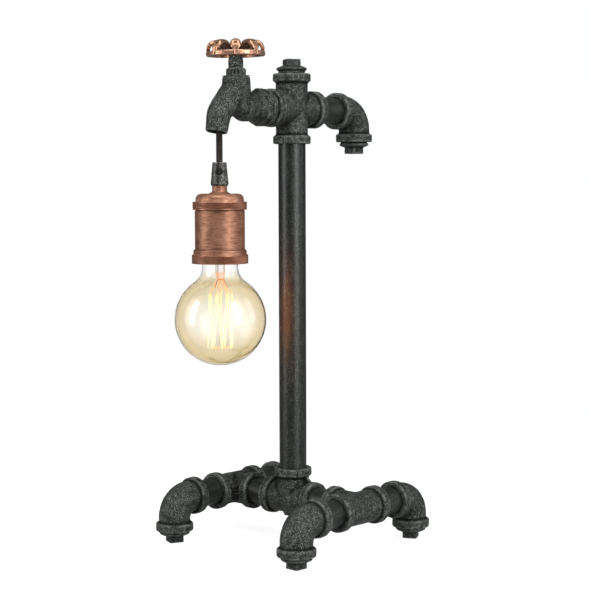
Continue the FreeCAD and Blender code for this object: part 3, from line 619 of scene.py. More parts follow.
# %% Lampholder copper
def holder_copper(name, low, high, rough):
    material, shader = new_finish(name, Metallic=0.75, Specular_IOR_Level=0.4)
    streak, cloud = use(brushed, -HANG_OUT * MM)
    worn, crease_shade = use(wear_and_shade, 0.4, 8.0)
    colour = mix(ramp(streak * 0.65 + cloud * 0.35, 0.36, 0.64), low, high)
    colour = mix(worn, colour, (0.78, 0.47, 0.34))
    gloss = ramp(streak, 0.3, 0.7, rough + 0.1, rough - 0.08)
    # Painted shade: grooves and creases are darkened.
    plug(shader, {"Base Color": mix(crease_shade, colour, (0.1, 0.05, 0.035)), "Roughness": gloss})
    bump(shader, streak, 0.05)
    return material


body_copper = holder_copper("brushed copper", (0.185, 0.074, 0.042), (0.43, 0.22, 0.14), 0.54)
ring_copper = holder_copper("knurled copper", (0.24, 0.1, 0.06), (0.47, 0.23, 0.15), 0.46)
print("finishes made:", body_copper.name, ring_copper.name)

# %% [markdown]
# The pieces inside are seen only when the bulb is out or from below, but each still has a
# finish of its own: rubber, sheath, glazed ceramic, brass, bright steel and black glass.

# %% Small plain finishes
def plain(name, low, high, size, rough, **fixed):
    material, shader = new_finish(name, **fixed)
    colour, grain = use(grainy, low, high, size)
    gloss = ramp(grain, 0.0, 1.0, rough + 0.06, rough - 0.06)
    plug(shader, {"Base Color": colour, "Roughness": gloss})
    bump(shader, grain, 0.02)
    return material


plain_finishes = {
    "switch_plastic": plain("black plastic", (0.018, 0.018, 0.019), (0.035, 0.035, 0.036), 0.8,
                            0.5),
    "stem_steel": plain("bright steel", (0.42, 0.42, 0.41), (0.6, 0.6, 0.58), 0.6, 0.3,
                        Metallic=1.0),
    "inner_lead": plain("lead sheath", (0.012, 0.011, 0.01), (0.025, 0.022, 0.02), 0.7, 0.6),
    "inlet_rubber": plain("inlet rubber", (0.012, 0.012, 0.012), (0.026, 0.026, 0.026), 1.0,
                          0.7),
    "ceramic": plain("glazed ceramic", (0.74, 0.72, 0.66), (0.86, 0.85, 0.81), 2.0, 0.16,
                     Coat_Weight=0.6),
    "contact_brass": plain("contact brass", (0.5, 0.35, 0.13), (0.72, 0.53, 0.25), 0.9, 0.3,
                           Metallic=1.0),
    "bulb_brass": plain("nickelled brass", (0.45, 0.42, 0.34), (0.66, 0.62, 0.52), 0.8, 0.26,
                        Metallic=1.0),
    "bulb_black": plain("black glass", (0.008, 0.008, 0.009), (0.02, 0.02, 0.022), 1.5, 0.12,
                        Coat_Weight=0.5),
    "hook_wire": plain("hook wire", (0.35, 0.26, 0.18), (0.55, 0.42, 0.3), 0.5, 0.35,
                       Metallic=1.0),
    "black_screw": plain("blacked screw", (0.003, 0.003, 0.003), (0.012, 0.012, 0.012), 0.7,
                         0.5, Specular_IOR_Level=0.3),
}
print("plain finishes:", len(plain_finishes))

# %% [markdown]
# The globe's glass is tinted straw yellow up to its shoulder and is clear at the neck.  Level
# with its middle the tint is paler, a painted glow of the filament's light.  The tint sits in
# the glass's own colour, so it is multiplied at each wall that light passes.  A thin coat
# spreads the soft boxes' highlights.
# Shadow rays see tinted air instead, because light bent by a thin globe would need far
# longer to settle.

# %% Glass
GLOBE_DEPTH = 137.2


def glass(name, top_tint, low_tint, rim_tint, foot_tint, fade_low, fade_high, shadow, **fixed):
    """The tints change over the height and towards the rim; heights are in millimetres."""
    material, shader = new_finish(name, Transmission_Weight=1.0, IOR=1.45, Roughness=0.0,
                                  **fixed)
    place = object_place()
    height = split(place)[2]
    wavy = clouds(place, 45.0, 1.0) * 0.008 + height
    climb = ramp(wavy, fade_low * MM + 0.004, fade_high * MM + 0.004)
    rim = mix(ramp(height, (fade_low - 55) * MM, (fade_low - 35) * MM), foot_tint, rim_tint)
    # Painted glow: the tint is paler level with the middle, round the filament.
    from_middle = calc("ABSOLUTE", height - (GRIP_TOP_Z - GLOBE_DEPTH) * MM)
    tint_with_painted_glow = mix(ramp(from_middle, 0.006, 0.026, 0.6, 0.0), low_tint, top_tint)
    facing = out("LayerWeight", {"Blend": 0.5}, "Facing")
    skin = mix(ramp(facing, 0.1, 0.55), tint_with_painted_glow, rim)
    plug(shader, {"Base Color": mix(climb, skin, top_tint)})
    clear = out("BsdfTransparent", {"Color": shadow})
    seen = out("MixShader", {0: out("LightPath", which="Is Shadow Ray"),
                             1: Value(shader.outputs[0]), 2: clear})
    plug(tree.nodes["Material Output"], {"Surface": seen})
    return material


amber_glass = glass("straw glass", (0.99, 0.99, 0.985), (0.915, 0.87, 0.73), (0.9, 0.79, 0.56),
                    (0.84, 0.71, 0.45), GRIP_TOP_Z - 106, GRIP_TOP_Z - 94, (0.98, 0.93, 0.8),
                    Specular_IOR_Level=0.2, Coat_Weight=0.6, Coat_Roughness=0.22)
clear_glass = glass("clear glass", (0.99, 0.99, 0.985), (0.99, 0.98, 0.95), (0.95, 0.94, 0.9),
                    (0.95, 0.94, 0.9), 200, 300, (0.97, 0.97, 0.96))
print("glass made:", amber_glass.name, clear_glass.name)

# %% [markdown]
# The lamp is lit, so the filament glows: pale yellow over most of its length, and orange
# where the wire is cooler, near the hooks at its top.

# %% Glowing wire
def glowing(name, low_colour, high_colour, strength):
    material, shader = new_finish(name, Roughness=0.5, Emission_Strength=strength)
    place = object_place()
    climb = ramp(clouds(place, 300.0) * 0.012 + split(place)[2],
                 (GRIP_TOP_Z - 128) * MM, (GRIP_TOP_Z - 100) * MM)
    heat = mix(climb, low_colour, high_colour)
    plug(shader, {"Base Color": heat, "Emission Color": heat})
    return material


filament_glow = glowing("glowing filament", (1.0, 0.8, 0.36), (1.0, 0.5, 0.14), 1.35)
# Painted glow: the hooks and the coil round the stem are not lit, yet shine orange in place of
# warm reflected light.
painted_glow = glowing("painted glow of hooks and coil", (1.0, 0.42, 0.12), (0.9, 0.3, 0.08), 0.75)
print("glow made:", filament_glow.name, painted_glow.name)

# %% [markdown]
# ## Castings
# A malleable iron fitting is one casting: its arms flow into each other with a soft fillet,
# but the bands round its mouths stay crisp.  The node's solids meet in hard corners, so a
# copy of it is rebuilt from voxels.  To grow a fillet, the surface near the middle is
# swelled outwards, rebuilt, and shrunk back: what filled the corner on the way out stays
# there on the way in.

# %% Mesh arrays
def numbers(items, label, width=3, kind=np.float32):
    values = np.empty(len(items) * width, kind)
    items.foreach_get(label, values)
    return values.reshape(-1, width)


def points_and_normals(mesh):
    return numbers(mesh.vertices, "co"), numbers(mesh.vertex_normals, "vector")


def set_points(mesh, values):
    mesh.vertices.foreach_set("co", np.ascontiguousarray(values, np.float32).ravel())
    mesh.update()


def mean_of_neighbours(values, pairs):
    total = np.zeros_like(values)
    count = np.bincount(pairs.ravel(), minlength=len(values)).astype(np.float32)
    for a, b in ((0, 1), (1, 0)):
        for column in range(values.shape[1]):
            total[:, column] += np.bincount(pairs[:, a], weights=values[pairs[:, b], column],
                                            minlength=len(values))
    return total / np.maximum(count, 1)[:, None]


# %% Rebuild a casting
def voxels(piece, size_mm):
    return modified(piece, "REMESH", mode="VOXEL", voxel_size=size_mm * MM)


def rebuilt(node, size_mm):
    """A copy of a node, merged and rebuilt from voxels."""
    mesh = cad_nodes[node].data.copy()
    mesh.materials.clear()
    bm = bmesh.new()
    bm.from_mesh(mesh)
    bmesh.ops.remove_doubles(bm, verts=bm.verts, dist=1e-6)
    bm.to_mesh(mesh)
    bm.free()
    return voxels(new_object(f"{node}_look", mesh), size_mm)


def grow_fillet(piece, node, centre, radius_mm, reach_mm, size_mm, norm=np.inf):
    """Fillet the inner corners near the centre; the rest goes back to the node's skin."""
    for direction in (1, -1):
        here, normal = points_and_normals(piece.data)
        set_points(piece.data, here + normal * (direction * radius_mm * MM))
        voxels(piece, size_mm)
    cad = cad_nodes[node].data
    skin = BVHTree.FromPolygons([v.co for v in cad.vertices], [p.vertices for p in cad.polygons])
    here, _ = points_and_normals(piece.data)
    away = np.linalg.norm(here - np.array(centre) * MM, ord=norm, axis=1) / MM
    share = np.clip(reach_mm - away, 0, 1)
    for i in np.flatnonzero(share < 1):
        place = Vector(here[i])
        here[i] = skin.find_nearest(place)[0].lerp(place, share[i])
    set_points(piece.data, here)
    voxels(piece, size_mm)


# %% [markdown]
# A casting's skin is softened, and then gets real bumps, so that its outline isn't dead
# straight.  Points that the bumps push past the node's box go back onto its faces, so the
# lamp keeps its size and its feet stay flat.

# %% Skin of a casting
def give_skin(piece, node, rounds, height_mm, size_mm, seed=0.0):
    modified(piece, "SMOOTH", factor=0.5, iterations=rounds)
    here, normal = points_and_normals(piece.data)
    scale = 1 / (size_mm * MM)
    offset = Vector((seed, seed, seed))
    lift = np.array([noise.noise(Vector(p) * scale + offset) for p in here.tolist()])
    bumpy = (here + normal * (lift * height_mm * MM)[:, None]).astype(np.float32)
    low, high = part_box(node)
    set_points(piece.data, np.clip(bumpy, np.array(low), np.array(high)))


# %% [markdown]
# Wear and painted crease shade need to know where a surface bulges and where it dips.  For
# each point, the mean of its neighbours lies above or below it along its normal; that
# distance, evened out over a few rounds, becomes the attributes `raised` and `sunk`.

# %% Where a mesh is raised or sunk
def mark_edges(piece, reach_mm, rounds=3):
    mesh = piece.data
    pairs = numbers(mesh.edges, "vertices", 2, np.int32)
    here, normal = points_and_normals(mesh)
    spread = here
    for _ in range(rounds):
        spread = mean_of_neighbours(spread, pairs)
    dip = ((spread - here) * normal).sum(1, keepdims=True) / (reach_mm * MM)
    dip = mean_of_neighbours(dip.astype(np.float32), pairs)[:, 0]
    for label, sign in (("raised", -1), ("sunk", 1)):
        attribute = mesh.attributes.new(label, "FLOAT", "POINT")
        attribute.data.foreach_set("value", np.clip(sign * dip, 0, 1).astype(np.float32))


def hand_over_rebuilt(piece, node, reach_mm, material, rounds=3):
    mark_edges(piece, reach_mm, rounds)
    piece.data.shade_smooth()
    hand_over(piece, node, material)


# %% Tees, cross and elbows
VOXEL = 0.58
castings = {"base_tee": (0, 0, BASE_Z), "top_cross": (0, 0, CROSS_Z),
            "rail_tee_near": (0, -RAIL_OUT, BASE_Z), "rail_tee_far": (0, RAIL_OUT, BASE_Z),
            "arm_elbow": (ARM_OUT, 0, CROSS_Z)}
for side, out_by in (("near", -RAIL_OUT), ("far", RAIL_OUT)):
    for end, along in (("left", -FOOT_OUT), ("right", FOOT_OUT)):
        castings[f"foot_elbow_{side}_{end}"] = (along, out_by, BASE_Z)

for node, centre in castings.items():
    piece = rebuilt(node, VOXEL)
    if "elbow" not in node:
        grow_fillet(piece, node, centre, 3.0, 18.2, VOXEL)
    give_skin(piece, node, 1, 0.22, 5.0)
    hand_over_rebuilt(piece, node, 0.12, cast_iron, 5)
print("castings rebuilt:", len(castings))

# %% [markdown]
# The tap's body is cast in one with its spout, so it gets the same treatment, with finer
# voxels, and one fillet grown round the foot of the boss.

# %% Tap body
TAP_VOXEL, NEAR_BOSS = 0.5, (-72.0, 0, CROSS_Z + 9)
tap = rebuilt("tap_body", TAP_VOXEL)
grow_fillet(tap, "tap_body", NEAR_BOSS, 3.5, 20.0, TAP_VOXEL, norm=2)
give_skin(tap, "tap_body", 2, 0.2, 4.0, 7.0)
hand_over_rebuilt(tap, "tap_body", 0.08, cast_iron)
print("tap body:", len(tap.data.polygons), "faces")

# %% [markdown]
# The plugs are castings too.  The one on top is screwed in only part way, so the first
# turns of its thread show above the cross, and the thread rule cuts them.

# %% Plugs
PIPE_PITCH, PLUG_FACE = 1.814, CROSS_Z + 31.8
plugs = ["top_plug", "arm_plug"] + [f"foot_plug_{s}_{e}" for s in ("near", "far")
                                    for e in ("left", "right")]
for count, node in enumerate(plugs):
    shows_thread = node == "top_plug"
    piece = rebuilt(node, 0.3 if shows_thread else 0.42)
    give_skin(piece, node, 2, 0.16, 3.0, 20.0 + count)
    if shows_thread:
        apply_rule(piece, thread_rule, Radius=12.1 * MM, Low=(PLUG_FACE - 0.6) * MM,
                   High=(PLUG_FACE + 2.75) * MM, Pitch=PIPE_PITCH * MM, Depth=0.75 * MM,
                   Material=cast_iron)
    hand_over_rebuilt(piece, node, 0.1, cast_iron)
print("plugs:", len(plugs))

# %% [markdown]
# ## Pipes
# A pipe is a plain tube with a small chamfer at each end, so it is turned on the lathe.
# Its ends come from the node's own box, and its long side is its axis.

# %% Pipes and nipples
PIPE_RADIUS, PIPE_WALL, CHAMFER, ROWS = 12.5, 2.8, 0.8, 24
pipes = [n for n in cad_nodes if "nipple" in n and n != "entry_nipple"] + ["column_pipe"]
for node in sorted(pipes):
    low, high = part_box(node)
    span = (high - low) / MM
    way = (X, Y, Z)[max(range(3), key=lambda i: span[i])]
    length = span.dot(way)
    start = (low + high) / 2 / MM - way * length / 2
    inside, edge = PIPE_RADIUS - PIPE_WALL, PIPE_RADIUS - CHAMFER
    skin = [(PIPE_RADIUS, CHAMFER + (length - 2 * CHAMFER) * k / ROWS) for k in range(ROWS + 1)]
    profile = [(edge, 0), *skin, (edge, length), (inside, length), (inside, 0)]
    hand_over(placed(turned(f"{node}_look", profile), start, way), node, pipe_iron)
print("pipes:", len(pipes))

# %% [markdown]
# ## Bonnet and handwheel
# Above the tap's boss sit a thin plate, a hex nut and a round gland, all on the boss's own
# leaning axis.  The round ones are turned.  The nut and the handwheel are rebuilt from
# voxels, because wear on their edges needs an even mesh.

# %% Bonnet
def on_boss(piece, node, material):
    hand_over(placed(piece, boss_foot, boss_way), node, material)


NUT_TOP, GLAND_TOP, LIP_TOP = 33.2, 40.5, 43.1
plate = turned("bonnet_washer_look", [
    (4.95, 23.8), (9.15, 23.8), (9.15, 25.3), (10.2, 25.3), (10.2, 25.9), (12.0, 25.9, 0.15),
    (12.1, 26.6, 0.2), (4.95, 26.6)], steps=2)
on_boss(plate, "bonnet_washer", bonnet_iron)
gland = turned("stem_gland_look", [
    (3.06, NUT_TOP), (6.6, NUT_TOP), (6.6, NUT_TOP + 1.2), (6.35, NUT_TOP + 1.5),
    (6.6, NUT_TOP + 1.8), (6.6, GLAND_TOP, 0.5), (5.9, GLAND_TOP + 0.4), (6.2, GLAND_TOP + 0.9),
    (6.2, LIP_TOP, 0.5), (3.06, LIP_TOP)], steps=4)
on_boss(gland, "stem_gland", bonnet_iron)

nut = rebuilt("packing_nut", 0.28)
give_skin(nut, "packing_nut", 1, 0.06, 2.5, 40.0)
hand_over_rebuilt(nut, "packing_nut", 0.09, bonnet_iron)
wheel = rebuilt("handwheel", 0.34)
give_skin(wheel, "handwheel", 2, 0.1, 2.5, 40.0)
hand_over_rebuilt(wheel, "handwheel", 0.12, wheel_copper)
print("nut and wheel:", len(nut.data.polygons), len(wheel.data.polygons), "faces")

# %% [markdown]
# One slotted screw holds the handwheel on its stem.  Its head is turned, and a box takes
# the slot out of it.

# %% Handwheel screw
STEM_TOP = LIP_TOP + 0.4 + 10.2
screw = turned("handwheel_screw_look", [
    (0, STEM_TOP - 7.5), (1.55, STEM_TOP - 7.5), (1.55, STEM_TOP), (3.4, STEM_TOP),
    (3.4, STEM_TOP + 1.1, 0.4), (2.4, STEM_TOP + 1.85, 0.5), (0, STEM_TOP + 2.0)], 64, 4)
milled(screw, (8, 0.9, 1.1), (0, 0, STEM_TOP + 1.95), 25)
on_boss(screw, "handwheel_screw", plain_finishes["stem_steel"])
print("handwheel screw:", len(screw.data.polygons), "faces")

# %% [markdown]
# ## Pendant cord
# A round braided cord leaves the switch, runs down inside the spout and hangs into the
# cord grip.  Its line is a smooth spline, shaped by four control points.  The tube is swept
# along it here, ring by ring, because a braid needs a texture map of its own: one side of
# the map runs round the cord and the other along it, in metres.

# %% Cord's line
CORD_RADIUS = 2.85
cord_points = [Vector((-79.7, 0, CROSS_Z + 7.77)), Vector((-HANG_OUT, 0, CROSS_Z - 6.4)),
               Vector((-HANG_OUT, 0, CORD_TOP_Z)), Vector((-HANG_OUT, 0, CORD_FOOT_Z))]
curve = bpy.data.curves.new("cord line", "CURVE")
curve.dimensions = "3D"
spline = curve.splines.new("NURBS")
spline.points.add(len(cord_points) - 1)
for point, place in zip(spline.points, cord_points):
    point.co = (*(place * MM), 1)
spline.order_u, spline.use_endpoint_u, spline.resolution_u = 3, True, 24
line_holder = bpy.data.objects.new("cord line", curve)
line = [v.co.copy() for v in bpy.data.meshes.new_from_object(line_holder).vertices]
bpy.data.objects.remove(line_holder)

# %% [markdown]
# The braid is two families of threads that wind opposite ways.  In the map they are
# diagonal stripes; where both cross, the one on top wins, which a checkerboard of signs
# decides.  The threads are dark brown with a few lighter flecks.

# %% Braid
THREADS, BRAID_PITCH = 12, 0.014
textile, shader = new_finish("braided cord", Roughness=0.85, Specular_IOR_Level=0.25,
                             Sheen_Weight=0.25, Sheen_Tint=(0.5, 0.4, 0.33))
round_cord, along_cord, _ = split(out("TexCoord", which="UV"))
phases = [(round_cord + along_cord / BRAID_PITCH * sign) * THREADS for sign in (1.0, -1.0)]
lumps = [calc("ABSOLUTE", calc("SINE", phase * math.pi)) for phase in phases]
over = calc("FLOORED_MODULO", calc("FLOOR", phases[0]) + calc("FLOOR", phases[1]), 2.0)
height = out("Mix", {0: over, 2: lumps[0], 3: lumps[1]})
fleck, _ = use(grainy, (0.011, 0.009, 0.008), (0.045, 0.032, 0.024), 0.7)
# Painted shade: the colour is darker where the threads dip under each other.
plug(shader, {"Base Color": vector("SCALE", fleck, Scale=ramp(height, 0.05, 0.8, 0.35, 1.3))})
bump(shader, height, 0.35)
print("finish made:", textile.name)

# %% Sweep the cord
SIDES = 28
rings = []
travelled = 0.0
for i, place in enumerate(line):
    before, after = line[max(i - 1, 0)], line[min(i + 1, len(line) - 1)]
    travelled += (place - before).length
    rings.append((place, (after - before).normalized(), CORD_RADIUS * MM, travelled))
# The foot is rounded, because it turns in the grip's countersunk mouth.
for k in range(1, 6):
    angle = math.pi / 2 * k / 6
    sink = CORD_RADIUS * MM * math.sin(angle)
    rings.append((line[-1] - Z * sink, -Z, CORD_RADIUS * MM * math.cos(angle),
                  travelled + sink))

vertices, faces, maps = [], [], []
for i, (place, way, radius, along) in enumerate(rings):
    across = way.cross(Y)
    for s in range(SIDES):
        angle = 2 * math.pi * s / SIDES
        vertices.append(place + (Y * math.cos(angle) + across * math.sin(angle)) * radius)
    if i == 0:
        continue
    a, b, back = (i - 1) * SIDES, i * SIDES, rings[i - 1][3]
    for s in range(SIDES):
        t = (s + 1) % SIDES
        faces.append((a + s, a + t, b + t, b + s))
        maps += [(s / SIDES, back), ((s + 1) / SIDES, back), ((s + 1) / SIDES, along),
                 (s / SIDES, along)]
for ring, order in ((0, -1), (len(rings) - 1, 1)):
    faces.append(tuple(ring * SIDES + s for s in range(SIDES))[::order])
    maps += [(0.5, rings[ring][3])] * SIDES

cord = made_of("pendant_cord_look", vertices, faces=faces)
cord_map = cord.data.uv_layers.new(name="UVMap")
cord_map.data.foreach_set("uv", np.array(maps, np.float32).ravel())
smooth(cord, 50)
cord.data.materials.append(textile)
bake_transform(cord)
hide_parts("pendant_cord", "tap_lead")
print("cord:", len(faces), "faces")

# %% [markdown]
# ## Cord grip
# The grip is a small tapered sleeve of gunmetal.  Its screw has a crossed slot, cut by two
# boxes, and it faces the camera.

# %% Cord grip and its screw
grip = rebuilt("cord_grip", 0.25)
give_skin(grip, "cord_grip", 1, 0.05, 1.5, 60.0)
hand_over_rebuilt(grip, "cord_grip", 0.07, gunmetal)

HEAD_FOOT, HEAD_TOP, SCREW_DEPTH = 5.728, 7.328, 7.9
grip_screw = turned("grip_screw_look", [
    (0, 2.95), (1.8, 2.95), (1.8, HEAD_FOOT), (3.5, HEAD_FOOT), (3.5, HEAD_TOP - 0.3, 0.4),
    (2.6, HEAD_TOP, 0.5), (0, HEAD_TOP)], 64, 4)
for twist in (18, 108):
    milled(grip_screw, (3.9, 0.85, 1.4), (0, 0, HEAD_TOP), twist)
towards = Vector((math.cos(SCREW_TURN), math.sin(SCREW_TURN), 0))
placed(grip_screw, hang_top - Z * SCREW_DEPTH, towards)
hand_over(grip_screw, "grip_screw", plain_finishes["black_screw"])
print("grip:", len(grip.data.polygons), "faces")

# %% [markdown]
# ## Lampholder
# The cap and the body are spun copper sheet.  Their outlines are the nodes' own, with the
# small grooves and rolled edges that spinning leaves.

# %% Cap and body
def spun(node, points, steps):
    piece = hung(turned(f"{node}_look", points, 160, steps))
    mark_edges(piece, 0.3, 1)
    hand_over(piece, node, body_copper)


def rows(radius, start, stop, count):
    """Points close together up a straight side."""
    return [(radius, start + (stop - start) * k / count) for k in range(count + 1)]


spun("holder_cap", [
    (4.95, 20.4), (6.55, 20.4, 0.3), (6.55, 22.0), (6.35, 22.2), (6.35, 22.5), (6.55, 22.7),
    (6.55, 25.4, 1.0), (9.6, 27.2, 1.0), (21.1, 27.2, 5.0), (21.1, 37.6), (20.1, 37.6),
    (20.1, 28.2, 4.0), (4.95, 28.2)], 8)
spun("holder_shell", [
    (20.6, 37.9), (21.1, 37.9), (21.1, 41.4), *rows(21.8, 42.2, 75.5, 30), (23.3, 76.5, 0.4),
    (23.3, 78.0), (23.05, 78.25), (23.3, 78.5), (23.3, 80.3), (22.2, 80.3), (22.2, 85.9),
    (20.6, 85.9)], 5)
print("cap and body made")

# %% [markdown]
# The two rings are unscrewed by hand, so they are knurled between two plain lips.  The
# lathe gives them rows of points half a diamond apart, and the knurl rule presses them.

# %% Knurled rings
def knurled_ring(node, radius, low, high, ends, around=288):
    lip, step = 0.75, 2 * math.pi * radius / around * 0.9
    count = 2 * int((high - low - 2 * lip) / step / 2)
    first = (low + high - count * step) / 2
    last = first + step * count
    groove, shoulder = radius - 0.45, radius - 0.05
    ring = turned(f"{node}_look", [
        *ends[0], (shoulder, low, 0.35), (shoulder, first - 0.3), (groove, first - 0.15),
        *rows(radius, first, last, count), (groove, last + 0.15), (shoulder, last + 0.3),
        (shoulder, high, 0.35), *ends[1]], around, 3)
    apply_rule(ring, knurl_rule, Radius=(radius - 0.02) * MM, Low=first * MM, Step=step * MM,
               Around=around, Depth=0.42 * MM, Material=ring_copper)
    mark_edges(ring, 0.25, 1)
    smooth(ring, 18)
    hand_over(hung(ring), node, ring_copper)
    print(node, "rows of diamonds:", count // 2)


knurled_ring("upper_ring", 23.75, 34.2, 41.2, ([(21.15, 34.2)], [(21.15, 41.2)]))
knurled_ring("shade_ring", 24.7, 80.3, 88.0,
             ([(22.25, 80.3)], [(17.4, 88.0, 0.3), (17.4, 86.6), (22.25, 86.6)]))

# %% [markdown]
# ## Screw shell and bulb cap
# The lamp's thread is rolled into thin sheet, so both walls wave together.  One rule makes
# both halves, with one phase, so that the bulb's cap runs in the socket's thread as it is
# screwed out.

# %% Lamp thread
LAMP_PITCH, LAMP_DEPTH, LAMP_THREAD_FOOT = 3.629, 0.9, 77.0
CAP_FOOT = 82.35


def threaded(node, profile, low, slot):
    finish = plain_finishes[slot]
    shell = turned(f"{node}_look", profile, 96, 4)
    apply_rule(shell, thread_rule, Radius=12.0 * MM, Low=low * MM, High=LAMP_THREAD_FOOT * MM,
               Pitch=LAMP_PITCH * MM, Depth=LAMP_DEPTH * MM, Material=finish)
    smooth(shell, 50)
    hand_over(hung(shell), node, finish)


threaded("socket_shell", [*rows(14.3, 52.0, 79.0, 60), *rows(13.7, 79.0, 52.0, 60)], 54.0,
         "contact_brass")
threaded("bulb_cap", [(5.5, 59.35), (10.9, 59.35), (12.4, 61.0, 0.6), (12.5, 61.9),
                      *rows(13.3, 63.6, CAP_FOOT, 60), *rows(12.8, CAP_FOOT, 63.6, 60),
                      (12.0, 61.85), (5.5, 61.85)], 61.9, "bulb_brass")
print("thread pitch", LAMP_PITCH, "mm")

# %% [markdown]
# ## Bulb
# The envelope is one blown wall: a straight neck, a waist that flares, and a globe.  Both
# walls have the same arcs, one wall's thickness apart, and the waist's arc touches the
# neck's line and the globe, as a glassblower's mould would have it.

# %% Globe
GLOBE_RADIUS, GLOBE_WALL = 40.0, 0.9
NECK, THROAT, WAIST = 15.75, 12.75, 16.0
LIP, SHOULDER = 77.35, 85.55


def globe_wall(inset):
    """One wall from its lip in the cap down to the foot of the globe."""
    radius, waist = GLOBE_RADIUS - inset, WAIST + inset
    out_by = NECK - inset + waist
    depth = GLOBE_DEPTH - math.sqrt((radius + waist) ** 2 - out_by ** 2)
    touch = math.atan2(depth - GLOBE_DEPTH, out_by)
    wall = [(THROAT - inset, LIP), (THROAT - inset, CAP_FOOT),
            (NECK - inset - 0.3, SHOULDER - 0.5), (NECK - inset, SHOULDER)]
    for k in range(1, 21):
        angle = math.pi + touch * k / 20
        wall.append((out_by + waist * math.cos(angle), depth + waist * math.sin(angle)))
    for k in range(1, 73):
        angle = touch + (math.pi / 2 - touch) * k / 72
        wall.append((radius * math.cos(angle), GLOBE_DEPTH + radius * math.sin(angle)))
    return wall


globe = turned("bulb_glass_look", globe_wall(0) + globe_wall(GLOBE_WALL)[::-1], 128, 1)
hand_over(hung(globe), "bulb_glass", amber_glass)
print("globe:", len(globe.data.polygons), "faces")

# %% [markdown]
# Inside, a glass stem flares from the cap's rim and carries a thin rod.  Two small beads on
# the rod are where the hooks are melted in.

# %% Glass stem
ROD, BEAD, UPPER_BEAD, LOWER_BEAD, ROD_FOOT = 1.1, 1.9, 110.0, 162.0, 166.0
stem_points = [(0, 78.35), (11.8, 78.35)]
for k in range(1, 11):
    angle = math.pi / 2 * k / 10
    stem_points.append((4.2 + 7.6 * (1 - math.sin(angle)), 78.9 + 9.0 * (1 - math.cos(angle))))
stem_points += [(4.2, 98.0), (3.2, 101.2, 1.5), (ROD, 103.0, 2.0)]
for depth in (UPPER_BEAD, LOWER_BEAD):
    stem_points += [(ROD, depth - 1.8), (BEAD, depth - 0.8, 0.8), (BEAD, depth + 0.8, 0.8),
                    (ROD, depth + 1.8)]
stem_points += [(ROD, ROD_FOOT, 0.9), (0, ROD_FOOT)]
glass_stem = hung(turned("glass_mount_look", stem_points, 48, 4))
hand_over(glass_stem, "glass_mount", clear_glass)
print("stem:", len(glass_stem.data.polygons), "faces")

# %% [markdown]
# The filament is one long wire that runs up and down fourteen times between two rings of
# hooks, and so makes a cage.  Each strand is a chain of edges that the wire rule turns into
# slightly unsteady wire.  A coil of finer wire is wound round the stem where it narrows.

# %% Filament
STRANDS = 14
UPPER_RING, LOWER_RING = (10.2, 114.0), (11.0, LOWER_BEAD)


def at(ring, turn):
    angle = math.radians(360.0 / STRANDS * turn)
    return Vector((ring[0] * math.cos(angle), ring[0] * math.sin(angle), ring[1]))


def wire(name, chains, radius, step, sway, seed, material):
    """Wire through chains of points given in millimetres, in the hung frame."""
    vertices, edges = [], []
    for chain in chains:
        first = len(vertices)
        vertices += [point * MM for point in chain]
        edges += [(first + k, first + k + 1) for k in range(len(chain) - 1)]
    piece = made_of(name, vertices, edges)
    apply_rule(piece, wire_rule, Radius=radius * MM, Step=step * MM, Sway=sway * MM, Seed=seed,
               Material=material)
    piece.data.shade_smooth()
    return hung(piece)


cage = []
for k in range(STRANDS):
    high, low = at(UPPER_RING, 2 * ((k + 1) // 2)), at(LOWER_RING, 2 * (k // 2) + 1)
    way = (low - high).normalized()
    cage.append([high + way * 0.5, low - way * 0.5])
filament = wire("filament_look", cage, 0.24, 2.6, 0.5, 3.0, filament_glow)
hand_over(filament, "filament", filament_glow)

hooks = []
for k in range(0, STRANDS, 2):
    high, low = at(UPPER_RING, k), at(LOWER_RING, k + 1)
    root, foot = at((2.6, 102.5), k), at((1.6, LOWER_BEAD), k + 1)
    hooks += [[root, root.lerp(high, 0.5) + Z * 1.5, high, high + Z * 0.8],
              [foot, low, low - Z * 0.8]]
# The hooks wear the painted orange glow.
hook_wires = wire("support_wires_look", hooks, 0.17, 1.5, 0.4, 9.0, painted_glow)
hand_over(hook_wires, "support_wires", painted_glow)
print("filament and hooks:", len(filament.data.polygons), len(hook_wires.data.polygons), "faces")

# %% Winding round the stem
TURNS, COIL_STEPS, COIL_TOP, COIL_HEIGHT, COIL_WIDE, COIL_TAPER = 6, 180, 95.0, 9.0, 4.5, 1.8
coil = []
for k in range(COIL_STEPS + 1):
    share = k / COIL_STEPS
    angle, radius = 2 * math.pi * TURNS * share, COIL_WIDE - COIL_TAPER * share
    coil.append(Vector((radius * math.cos(angle), radius * math.sin(angle),
                        COIL_TOP + COIL_HEIGHT * share)))
# The coil wears the painted orange glow.
winding = wire("stem_winding", [coil], 0.17, 0.8, 0.5, 5.0, painted_glow)
winding.data.materials.clear()
winding.data.materials.append(painted_glow)
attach(winding, "bulb")
print("winding:", len(winding.data.polygons), "faces")

# %% [markdown]
# ## Nodes kept as they are
# The rest of the nodes have the right shape already: the switch, the leads, the bush, the
# insulator, its contacts and the small wires.  Each gets the finish of its own slot.

# %% Finishes for the kept nodes
kept = {"switch_plastic": ["rotary_switch"], "stem_steel": ["switch_stem", "terminal_screws"],
        "inner_lead": ["supply_lead", "holder_lead"], "inlet_rubber": ["inlet_bush"],
        "ceramic": ["lamp_insulator"], "contact_brass": ["centre_contact", "entry_nipple"],
        "bulb_brass": ["bulb_tip"], "bulb_black": ["bulb_insulator"],
        "hook_wire": ["lead_in_wires"]}
for slot, nodes in kept.items():
    for node in nodes:
        for place in cad_nodes[node].material_slots:
            place.link = "OBJECT"
            place.material = plain_finishes[slot]
print("nodes kept:", sum(len(nodes) for nodes in kept.values()))

